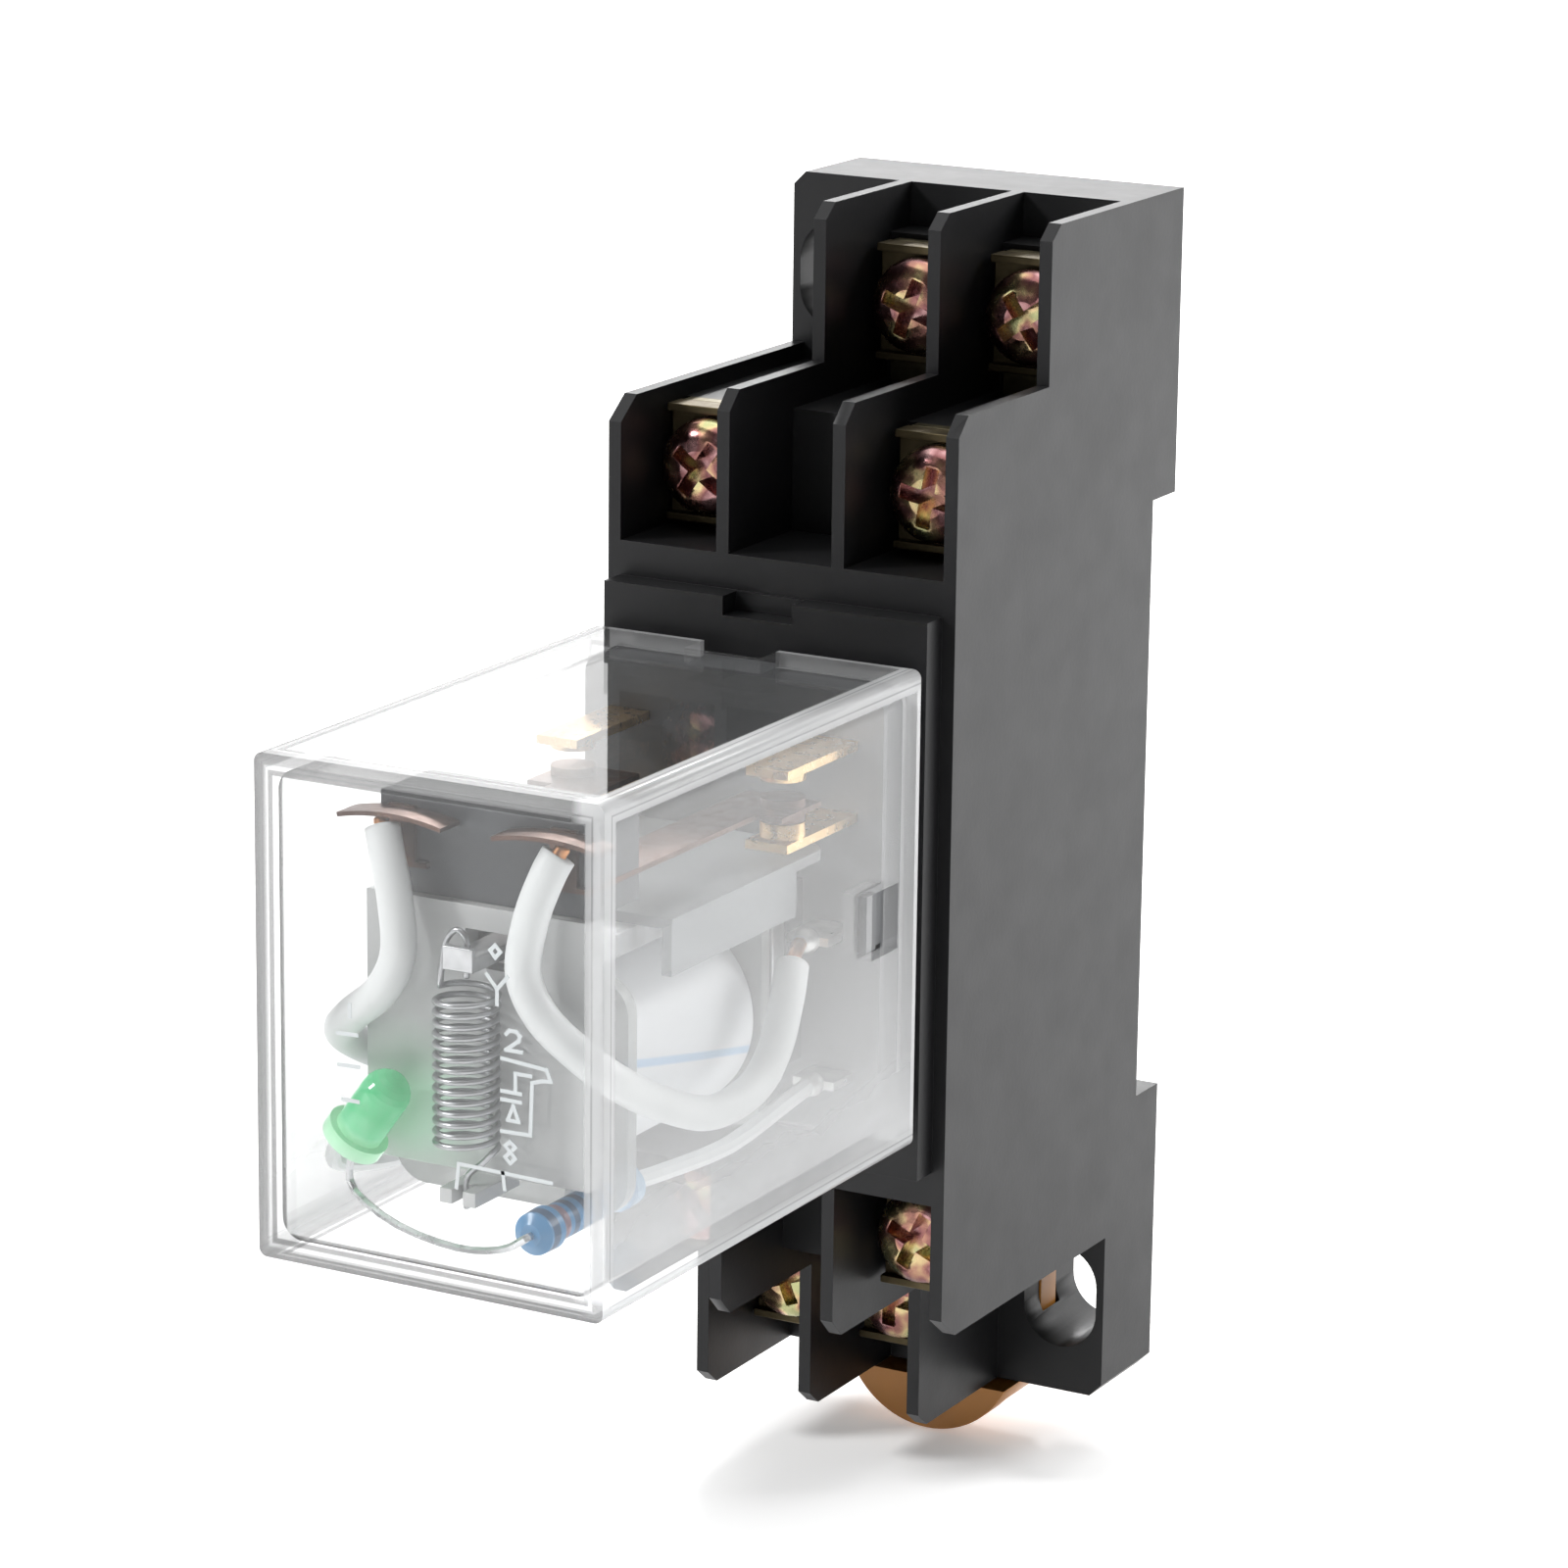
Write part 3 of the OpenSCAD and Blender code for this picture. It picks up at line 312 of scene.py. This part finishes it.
def glassy(name, haze_color, front_haze, side_reflection=(0.0, 0.0), banded=False, gloss=1.0):
    """Clear plastic: a mirror by Schlick's form of Fresnel over a thin haze.

    On the side walls a painted reflection is added to the haze and grows downwards, and the side
    setting gives it at the top and at the bottom. A banded look has a painted milky highlight
    band between two painted lines where the walls meet.
    """
    look = Look(name, haze_color, 0.35, ior=1.49)
    sideways = side_walls(look)
    pale = edge_highlights(look, sideways)
    axes = look.axes()
    # painted reflection on the side walls, stronger towards the bottom, added to the real haze
    low = look.fade(axes["Z"], CASE_LOW.z, CASE_HIGH.z, 1.0, 0.0)
    side = look.spread(look.math("POWER", low, 2.5), *side_reflection, 0.0, 1.0)
    haze_and_painted_light = look.math("ADD", look.math("MULTIPLY", sideways, side), front_haze)
    haze_and_painted_light = look.math("MULTIPLY", haze_and_painted_light, look.spread(look.noise(9.0), 0.9, 1.1))
    facing = look.node("ShaderNodeLayerWeight", Blend=0.5).outputs["Facing"]
    share = look.spread(look.math("POWER", facing, 5.0), REFLECTANCE * gloss, gloss, 0.0, 1.0)
    if banded:
        # painted edge lines and milky highlight bands, which cover the haze and the mirror beside
        # the edges
        painted_band, tone = painted_edge_bands(look, pale)
        # painted milky highlight along the case's open rear end
        rim_start = CASE_HIGH.y - REAR_RIM
        rear_rim_highlight = look.fade(axes["Y"], rim_start, rim_start + 0.07, 0.0, 0.6)
        haze_and_painted_light = look.math("MAXIMUM", look.math("MAXIMUM", haze_and_painted_light, painted_band), rear_rim_highlight)
        share = look.math("MULTIPLY", share, look.math("SUBTRACT", 1.0, painted_band))
        look.feed("Base Color", tone)
    else:
        # painted highlight colour on the highlighted bevels
        look.feed("Base Color", look.mix(pale, haze_color, BEVEL_HIGHLIGHT))
    look.feed("Alpha", haze_and_painted_light)
    ripple = look.node("ShaderNodeBump", Height=look.noise(12.0, detail=0.0), Strength=0.05,
                       Distance=0.03 * MM).outputs["Normal"]
    mirror = look.node("ShaderNodeBsdfAnisotropic", Roughness=0.03, Normal=ripple)
    both = look.node("ShaderNodeMixShader", Fac=share)
    links = look.tree.links
    links.new(look.shader.outputs["BSDF"], both.inputs[1])
    links.new(mirror.outputs["BSDF"], both.inputs[2])
    links.new(both.outputs["Shader"], look.tree.nodes["Material Output"].inputs["Surface"])
    return look


def milky(name, color, least, most):
    """Translucent moulded plastic."""
    return see_through(plastic(name, color, 0.35, drift=0.05), least, most)


def winding():
    """Enamelled turns side by side along the coil."""
    look = Look("winding_copper", (0.50, 0.20, 0.08), 0.35, metal=0.8)
    turns = look.node("ShaderNodeTexWave", Vector=look.place, Scale=2200.0, Distortion=0.6)
    turns.bands_direction = "Y"
    look.tint(look.noise(0.6), 0.2)
    look.bump(turns.outputs["Fac"], 0.03, 0.8)
    return look


# The rule on the coil's tape runs at this slope along Y, and crosses Y = 0 midway between the two
# heights.
RULE_SLOPE = -0.201
RULE_HEIGHTS = (-15.91, -12.91)


def tape():
    """White tape with faint diagonal wraps and one pale blue rule."""
    look = Look("tape_white", (0.82, 0.84, 0.86), 0.45)
    wraps = look.node("ShaderNodeTexWave", Vector=look.place, Scale=260.0, Distortion=1.5)
    wraps.bands_direction = "DIAGONAL"
    axes = look.axes()
    climb = look.math("SUBTRACT", axes["Z"], look.math("MULTIPLY", axes["Y"], RULE_SLOPE))
    across = look.fade(climb, *RULE_HEIGHTS)
    white, blue = (0.84, 0.86, 0.88), (0.42, 0.60, 0.82)
    look.feed("Base Color", look.ramp(across, [
        (0.40, white), (0.45, blue), (0.55, blue), (0.60, white)]))
    look.bump(wraps.outputs["Fac"], 0.03, 0.3)
    return look


def lamp_green():
    """Tinted lamp body, pale at its flange and deep green in the dome."""
    look = Look("lamp_green", (0.05, 0.45, 0.18), 0.12, ior=1.54)
    axes = look.axes()
    foot = LAMP_FOOT * MM
    rightward = look.math("MULTIPLY", look.math("SUBTRACT", axes[0], foot.x), math.sin(LAMP_LEAN))
    upward = look.math("MULTIPLY", look.math("SUBTRACT", axes[2], foot.z), math.cos(LAMP_LEAN))
    along = look.fade(look.math("ADD", rightward, upward), 0.0, LAMP_LENGTH)
    look.feed("Base Color", look.ramp(along, [
        (0.0, (0.62, 0.86, 0.68)), (0.16, (0.42, 0.76, 0.50)), (0.3, (0.10, 0.52, 0.25)),
        (0.55, (0.04, 0.42, 0.17)), (0.8, (0.08, 0.52, 0.23))]))
    look.set("Emission Color", (0.10, 0.75, 0.28, 1.0))
    look.set("Emission Strength", 0.18)
    return see_through(look, 0.72, 0.98, 1.5)


def armature():
    """Rolled steel with a painted pool of the lamp's green light beside the lamp."""
    look = metal("armature_steel", (0.50, 0.51, 0.51), 0.45, stretch=(1, 1, 0.15))
    look.set("Metallic", 0.15)
    away = look.node("ShaderNodeVectorMath", Vector=look.place)
    away.operation = "DISTANCE"
    away.inputs[1].default_value = (LAMP_FOOT + LAMP_GLOW_OFFSET) * MM
    painted_lamp_light = look.fade(away.outputs["Value"], 0.0, LAMP_GLOW_REACH)
    # painted green lamp light, fading with distance from that point
    look.feed("Base Color", look.ramp(painted_lamp_light, [
        (0.25, (0.50, 0.70, 0.57)), (0.6, (0.51, 0.60, 0.54)), (1.0, look.color)]))
    return look


def resistor_blue():
    """Blue body with colour bands along Y."""
    look = Look("resistor_blue", (0.22, 0.45, 0.72), 0.3)
    along = look.fade(look.axes()["Y"], RESISTOR_LOW.y, RESISTOR_HIGH.y)
    body, deep, pale = (0.075, 0.25, 0.47), (0.03, 0.085, 0.17), (0.22, 0.44, 0.66)
    brown = (0.24, 0.16, 0.20)
    look.feed("Base Color", look.ramp(along, [
        (0.0, body), (0.05, deep), (0.11, body), (0.16, brown), (0.24, body), (0.28, deep),
        (0.33, body), (0.38, deep), (0.43, body), (0.49, deep), (0.54, body), (0.60, deep),
        (0.66, pale), (0.82, body), (0.88, pale)], blend="CONSTANT"))
    look.bump(look.noise(0.5), 0.02, 0.3)
    return look


# look for the case's bevels: a painted edge highlight
CASE_EDGE_HIGHLIGHT = glassy("case_edge_highlight", (0.24, 0.245, 0.25), 0.64, gloss=0.4)
LOOKS = {
    "housing_black": plastic("housing_black", (0.009, 0.009, 0.010), 0.40, grain_mm=0.3,
                             depth_mm=0.012, Specular_IOR_Level=0.3),
    "cover_black": plastic("cover_black", (0.020, 0.020, 0.022), 0.5),
    "latch_amber": plastic("latch_amber", (0.44, 0.18, 0.03), 0.38),
    "spring_wire": metal("spring_wire", (0.41, 0.42, 0.43), 0.36, depth_mm=0.002, drift=0.1),
    # the brass strips and zinc washers are painted very dark: painted shade of the deep terminal
    # bays they sit in
    "strip_brass": metal("strip_brass", (0.15, 0.13, 0.08), 0.38),
    "washer_zinc": metal("washer_zinc", (0.10, 0.08, 0.045), 0.45),
    "screw_chromate": chromate(),
    # the side setting (0.05, 0.48) paints reflection on the case's side walls, stronger lower down
    "case_clear": glassy("case_clear", (0.78, 0.79, 0.79), 0.02, (0.05, 0.48), banded=True),
    "base_grey": plastic("base_grey", (0.10, 0.105, 0.11), 0.4, grain_mm=0.4, depth_mm=0.002,
                         drift=0.1),
    "blade_tin": metal("blade_tin", (0.66, 0.66, 0.64), 0.35),
    "contact_alloy": metal("contact_alloy", (0.76, 0.52, 0.26), 0.3, depth_mm=0.001,
                           drift=0.08),
    "barrier_milky": milky("barrier_milky", (0.36, 0.38, 0.39), 0.35, 0.95),
    "bobbin_milky": milky("bobbin_milky", (0.46, 0.48, 0.47), 0.6, 1.0),
    "winding_copper": winding(),
    "tape_white": tape(),
    "core_steel": metal("core_steel", (0.52, 0.53, 0.54), 0.35),
    "yoke_steel": metal("yoke_steel", (0.55, 0.56, 0.57), 0.36, stretch=(1, 0.15, 1)),
    "armature_steel": armature(),
    "carrier_dark": plastic("carrier_dark", (0.040, 0.046, 0.052), 0.36),
    "spring_copper": metal("spring_copper", (0.11, 0.065, 0.05), 0.38),
    "lead_copper": metal("lead_copper", (0.60, 0.28, 0.12), 0.35),
    "sleeve_white": plastic("sleeve_white", (0.72, 0.74, 0.74), 0.42, drift=0.05),
    "lamp_green": lamp_green(),
    "lead_tin": metal("lead_tin", (0.62, 0.63, 0.64), 0.3),
    "wire_white": plastic("wire_white", (0.74, 0.76, 0.76), 0.45, drift=0.06),
    "resistor_blue": resistor_blue(),
}


# ---------- dressing the CAD nodes ----------

# Node name, or its stem where nodes are numbered or have sides: slot, bevel in millimetres.
DRESS = {
    "socket_housing": ("housing_black", 0.12), "rear_cover": ("cover_black", 0.12),
    "din_latch": ("latch_amber", 0.2), "latch_spring": ("spring_wire", 0),
    "contact_strip": ("strip_brass", 0.08), "clamp_washer": ("washer_zinc", 0.1),
    "terminal_screw": ("screw_chromate", 0.08), "relay_cover": ("case_clear", 0.2),
    "relay_base": ("base_grey", 0.1), "coil_terminal": ("blade_tin", 0.05),
    "common_terminal": ("blade_tin", 0.05), "closed_contact": ("contact_alloy", 0.05),
    "open_contact": ("contact_alloy", 0.05), "contact_barrier": ("barrier_milky", 0.1),
    "coil_bobbin": ("bobbin_milky", 0.12), "coil_winding": ("winding_copper", 0),
    "coil_tape": ("tape_white", 0), "magnet_core": ("core_steel", 0.1),
    "magnet_yoke": ("yoke_steel", 0.12), "armature": ("armature_steel", 0.12),
    "contact_carrier": ("carrier_dark", 0.2), "moving_spring": ("spring_copper", 0.04),
    "return_spring": ("spring_wire", 0), "lead_wire": ("lead_copper", 0),
    "lead_sleeve": ("sleeve_white", 0), "led_lamp": ("lamp_green", 0), "led_lead": ("lead_tin", 0),
    "lamp_wire": ("wire_white", 0), "resistor": ("resistor_blue", 0),
    "resistor_wire": ("wire_white", 0),
}


def stem(name):
    """Node name without its side or number."""
    for tail in ("_left", "_right"):
        name = name.removesuffix(tail)
    return name.rstrip("0123456789").rstrip("_")


def dress(obj, slot, bevel_mm):
    """Gives a CAD node its look and slot, and rounds its edges."""
    obj.data.materials.clear()
    obj.data.materials.append(LOOKS[slot].mat)
    if bevel_mm:
        weld = obj.modifiers.new("weld", "WELD")
        weld.merge_threshold = 0.002 * MM
        bevel = obj.modifiers.new("edges", "BEVEL")
        bevel.width = bevel_mm * MM
        bevel.segments = 2
        bevel.limit_method = "ANGLE"
        bevel.angle_limit = math.radians(35)
        bevel.harden_normals = True
    if slot == "case_clear":
        # the bevels get a paler, more solid look: a painted highlight where moulded clear plastic
        # catches light along its edges
        obj.data.materials.append(CASE_EDGE_HIGHLIGHT.mat)
        bevel.material = 1


for node_name, node_object in NODES.items():
    dress(node_object, *DRESS[stem(node_name)])


# ---------- wires and springs ----------

def spline(points, steps=6):
    """Smooth curve through the points, the same as the solids' wires follow."""
    last = len(points) - 1
    path = []
    for i in range(last):
        a, b = points[max(i - 1, 0)], points[i]
        c, d = points[i + 1], points[min(i + 2, last)]
        for k in range(steps):
            t = k / steps
            path.append(0.5 * (2 * b + (c - a) * t + (2 * a - 5 * b + 4 * c - d) * t ** 2
                               + (3 * b - a - 3 * c + d) * t ** 3))
    return path + [points[-1]]


def tube_mesh(name, path, radius, sides=16, round_ends=True):
    """Round tube along a path in millimetres; radius is a number or one number a point."""
    radii = radius if isinstance(radius, list) else [radius] * len(path)
    if round_ends:
        path, radii = rounded(path, radii)
    mesh = bmesh.new()
    side = None
    rings = []
    for i, (point, r) in enumerate(zip(path, radii)):
        along = (path[min(i + 1, len(path) - 1)] - path[max(i - 1, 0)]).normalized()
        if side is None:
            side = along.orthogonal().normalized()
        side = (side - along * side.dot(along)).normalized()
        other = along.cross(side)
        rings.append([mesh.verts.new((point + r * (math.cos(a) * side + math.sin(a) * other)) * MM)
                      for a in (2 * math.pi * k / sides for k in range(sides))])
    for low, high in zip(rings, rings[1:]):
        for k in range(sides):
            mesh.faces.new((low[k], low[(k + 1) % sides], high[(k + 1) % sides], high[k]))
    mesh.faces.new(list(reversed(rings[0])))
    mesh.faces.new(rings[-1])
    return finish_mesh(name, mesh)


def rounded(path, radii):
    """Adds a short domed cap to both ends of a tube."""
    caps = []
    for end, inner, r in ((path[0], path[1], radii[0]), (path[-1], path[-2], radii[-1])):
        out = (end - inner).normalized()
        caps.append([(end + out * r * 0.5 * math.sin(a), r * math.cos(a))
                     for a in (math.radians(d) for d in (25, 50, 75))])
    first, last = caps
    whole = list(reversed(first)) + list(zip(path, radii)) + last
    return [p for p, _ in whole], [r for _, r in whole]


def finish_mesh(name, mesh, smooth=True):
    """Object in the scene, made from a bmesh."""
    data = bpy.data.meshes.new(name)
    bmesh.ops.recalc_face_normals(mesh, faces=mesh.faces)
    mesh.to_mesh(data)
    mesh.free()
    for face in data.polygons:
        face.use_smooth = smooth
    obj = bpy.data.objects.new(name, data)
    bpy.context.scene.collection.objects.link(obj)
    return obj


def piece(obj, slot, body, *nodes, look=None):
    """Gives a new piece its material and body, and the CAD nodes that it stands for."""
    obj.data.materials.append((look or LOOKS[slot]).mat)
    if nodes:
        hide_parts(*nodes)
    if isinstance(body, tuple):
        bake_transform(obj)
    else:
        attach(obj, body)
    return obj


def helix(center, radius, z0, z1, turns, per_turn=24):
    """Turns about a line parallel to Z, from height z0 to z1."""
    steps = int(turns * per_turn)
    return [Vector((center.x + radius * math.cos(2 * math.pi * i / per_turn),
                    center.y + radius * math.sin(2 * math.pi * i / per_turn),
                    z0 + (z1 - z0) * i / steps)) for i in range(steps + 1)]


def return_spring():
    """Tension spring: its upper hook arches over the yoke's tongue, its foot holds the armature."""
    center = Vector((0.5, -62.0, 0))
    coil_r, wire_r, coil_top, coil_end, turns = 1.63, 0.17, 1.8, -6.7, 14.5
    foot = [center + Vector(p) for p in (
        (0, 0, -10.0), (0, 0, -8.4), (coil_r * 0.6, 0, coil_end - 0.7), (coil_r, 0, coil_end))]
    hook = [center + Vector(p) for p in (
        (-coil_r * 0.9, 0, 3.0), (-coil_r * 0.75, 0, 4.3), (-coil_r * 0.35, 0, 4.95),
        (0, 0, 4.5), (0, 0, 3.4), (0, 0, 2.5))]
    path = spline(foot, 5)[:-1] + helix(center, coil_r, coil_end, coil_top, turns)
    path += spline([path[-1]] + hook, 5)[1:]
    obj = tube_mesh("return_spring_wire", path, wire_r, 10)
    top, bottom = mm(center.x, center.y, coil_top), mm(center.x, center.y, coil_end)
    piece(obj, "spring_wire", ("relay", "armature_set", top, bottom), "return_spring")


def latch_spring():
    """Compression spring between the socket and the latch, open at its ends."""
    center, coil_r, wire_r, turns = Vector((0, -3.0, 0)), 1.07, 0.16, 6
    coil_end, coil_top, seat_gap = -29.7, -24.7, 0.2
    path = helix(center, coil_r, coil_end, coil_top, turns)
    obj = tube_mesh("latch_spring_wire", path, wire_r, 8)
    bottom = mm(center.x, center.y, coil_end - seat_gap)
    top = mm(center.x, center.y, coil_top + seat_gap)
    piece(obj, "spring_wire", ("socket", "rail_latch", bottom, top), "latch_spring")


# Lead from the right moving spring to the right common blade; the left one mirrors it.
LEAD = [(5.5, -60.7, 9.8), (4.9, -61.2, 8.4), (4.1, -61.6, 5.9), (3.8, -61.8, 3.1),
        (4.9, -61.7, 0.9), (6.9, -61.4, -0.8), (8.3, -60.2, -2.3), (8.5, -56.4, -4.4),
        (8.5, -50.8, -6.6), (8.4, -46.0, -6.7), (8.3, -43.3, -5.3), (8.0, -41.3, -2.9),
        (7.4, -39.6, -1.3), (6.6, -37.4, -0.9)]
# Points of the lead's curve: where the armature's motion starts to fade and where it has gone,
# and the part under the sleeve.
FADE_START, FADE_END = 4, 40
SLEEVED = slice(3, -9)


def leads():
    """Flexible leads, each a copper wire in a white sleeve."""
    for side, sign in (("left", -1), ("right", 1)):
        path = spline([Vector((sign * x, y, z)) for x, y, z in LEAD], 8)
        span = ("armature_set", "relay", path[FADE_START] * MM, path[FADE_END] * MM)
        wire = tube_mesh(f"lead_core_{side}", path, 0.42, 12)
        piece(wire, "lead_copper", span, f"lead_wire_{side}")
        sleeve = tube_mesh(f"lead_cover_{side}", path[SLEEVED], 0.95, 20, round_ends=False)
        piece(sleeve, "sleeve_white", span, f"lead_sleeve_{side}")


# Strokes of the printed diagram on the front of the case, as (x, z).
DIAGRAM = [
    [(4.75, 0.92), (4.95, 1.12), (5.35, 1.12), (5.57, 0.92), (5.5, 0.65), (4.75, 0.08),
     (5.65, 0.08)],
    [(4.5, -0.42), (7.15, -0.62), (7.4, -1.2), (6.9, -1.25), (6.3, -1.45), (6.2, -4.25),
     (4.5, -4.3)],
    [(6.2, -1.1), (5.3, -1.1), (5.3, -2.15)],
    [(4.5, -2.15), (5.6, -2.15)],
    [(4.5, -2.6), (5.6, -2.6)],
    [(5.18, -2.85), (4.85, -3.65), (5.5, -3.65), (5.18, -2.85)],
    [(5.0, -4.8), (5.3, -5.05), (5.0, -5.35), (4.7, -5.05), (5.0, -4.8)],
    [(5.0, -5.35), (5.3, -5.65), (5.0, -5.95), (4.7, -5.65), (5.0, -5.35)],
    [(7.45, -6.6), (1.9, -6.5), (1.75, -7.8)],
    [(4.55, -6.55), (4.65, -7.4)],
    [(4.1, 5.5), (4.4, 5.2), (4.1, 4.85), (3.8, 5.2), (4.1, 5.5)],
    [(3.6, 3.9), (4.2, 3.2), (4.8, 3.9)],
    [(4.2, 3.2), (4.2, 2.4)],
    [(-5.45, -0.65), (-4.3, -0.6)],
    [(-5.4, -2.35), (-4.2, -2.3)],
    [(-5.15, -4.2), (-4.25, -4.2)],
    [(-4.7, 1.0), (-4.7, 0.35)],
]


STROKE_WIDTH, STROKE_HEIGHT = 0.21, 0.02
# Each bar of a stroke reaches this much further out and in than the last, so that no two faces
# share a plane.
STROKE_RISE = 0.004


def stroke_bar(mesh, start, end, out_low, out_high):
    """Flat bar from start to end; out_low and out_high are its faces' heights over the case."""
    along = (end - start).normalized() * STROKE_WIDTH / 2
    aside = Vector((along.z, 0, -along.x))
    corners = (start - along - aside, end + along - aside,
               end + along + aside, start - along + aside)
    inner, outer = ([mesh.verts.new((c + Vector((0, CASE_FRONT - out, 0))) * MM) for c in corners]
                    for out in (out_low, out_high))
    mesh.faces.new(inner)
    mesh.faces.new(reversed(outer))
    for i in range(4):
        j = (i + 1) % 4
        mesh.faces.new((inner[j], inner[i], outer[i], outer[j]))


def diagram():
    """The print on the case, as thin raised strokes."""
    mesh = bmesh.new()
    for stroke in DIAGRAM:
        for step, ((x0, z0), (x1, z1)) in enumerate(zip(stroke, stroke[1:])):
            stroke_bar(mesh, Vector((x0, 0, z0)), Vector((x1, 0, z1)),
                       -STROKE_RISE * (step + 1), STROKE_HEIGHT + STROKE_RISE * step)
    ink = plastic("diagram_ink", (0.58, 0.61, 0.62), 0.5, drift=0.04)
    piece(finish_mesh("case_diagram", mesh, smooth=False), "tape_white", "relay", look=ink)


return_spring()
latch_spring()
leads()
diagram()


# ---------- camera, light and floor ----------

FOCAL_LENGTH_MM, SENSOR_MM = 132.66, 36.0
CAMERA_AZIMUTH, CAMERA_ELEVATION, CAMERA_ROLL = (math.radians(a) for a in (28.75, 14.61, 0.72))
CAMERA_TARGET_MM = (4.20, -35.0, 7.29)
CAMERA_DISTANCE = 0.3176
CAMERA_CLIP = 0.01


def camera():
    """The photograph's viewpoint, turned 29 degrees to the right and 15 degrees up."""
    data = bpy.data.cameras.new("camera")
    data.lens = FOCAL_LENGTH_MM
    data.sensor_width = SENSOR_MM
    data.clip_start = CAMERA_CLIP
    obj = bpy.data.objects.new("camera", data)
    bpy.context.scene.collection.objects.link(obj)
    level = math.cos(CAMERA_ELEVATION)
    back = Vector((math.sin(CAMERA_AZIMUTH) * level, -math.cos(CAMERA_AZIMUTH) * level,
                   math.sin(CAMERA_ELEVATION)))
    right = Vector((0, 0, 1)).cross(back).normalized()
    up = back.cross(right)
    turned = math.cos(CAMERA_ROLL) * right + math.sin(CAMERA_ROLL) * up
    up = back.cross(turned)
    matrix = Matrix((turned, up, back)).transposed().to_4x4()
    matrix.translation = mm(*CAMERA_TARGET_MM) + back * CAMERA_DISTANCE
    obj.matrix_world = matrix
    bpy.context.scene.camera = obj


def area_light(name, place, size, power, aim=(0, -0.03, 0)):
    """Square panel that faces aim."""
    data = bpy.data.lights.new(name, "AREA")
    data.size = size
    data.energy = power
    obj = bpy.data.objects.new(name, data)
    bpy.context.scene.collection.objects.link(obj)
    obj.location = place
    obj.rotation_euler = (Vector(place) - Vector(aim)).to_track_quat("Z", "Y").to_euler()


def sun_light(name, place, strength, spread_deg):
    """Far light from the direction of place."""
    data = bpy.data.lights.new(name, "SUN")
    data.energy = strength
    data.angle = math.radians(spread_deg)
    obj = bpy.data.objects.new(name, data)
    bpy.context.scene.collection.objects.link(obj)
    obj.rotation_euler = Vector(place).to_track_quat("Z", "Y").to_euler()


WORLD_STRENGTH = 0.14
FLOOR_REACH = 30.0
FLOOR_DROP = 0.0002
FLOOR_GLOW = 0.28


def floor():
    """Plain pale floor just under the part."""
    mesh = bmesh.new()
    bmesh.ops.create_grid(mesh, x_segments=1, y_segments=1, size=FLOOR_REACH)
    obj = finish_mesh("floor", mesh, smooth=False)
    obj.location = (0, 0, CAD_BOX[0].z - FLOOR_DROP)
    look = Look("floor_white", (0.90, 0.90, 0.90), 0.7)
    look.tint(look.noise(400.0), 0.01)
    look.set("Emission Color", (1.0, 1.0, 1.0, 1.0))
    look.set("Emission Strength", FLOOR_GLOW)
    obj.data.materials.append(look.mat)


def studio():
    """White surroundings, three far lights, three panels and the floor."""
    world = bpy.data.worlds.new("studio")
    bpy.context.scene.world = world
    world.use_nodes = True
    background = world.node_tree.nodes["Background"]
    background.inputs["Color"].default_value = (1.0, 1.0, 1.0, 1.0)
    background.inputs["Strength"].default_value = WORLD_STRENGTH
    sun_light("key", (-0.72, -0.62, 0.62), strength=2.2, spread_deg=10)
    sun_light("overhead", (-0.1, 0.1, 1.0), strength=1.4, spread_deg=60)
    sun_light("rim", (-0.40, 0.73, 0.50), strength=0.8, spread_deg=8)
    area_light("backdrop", (-0.25, 0.8, 0.4), size=1.3, power=8.0)
    area_light("right_rear", (0.62, 0.60, 0.08), size=0.7, power=1.0)
    area_light("floor_fill", (0.34, 0.34, 0.26), size=0.25, power=2.1, aim=(0.08, 0.07, -0.04))
    floor()


camera()
studio()
bpy.context.scene.view_settings.view_transform = "Standard"


# ---------- bounds as plain numbers ---

def plain(bounds):
    return [[float(value) for value in corner] for corner in bounds]
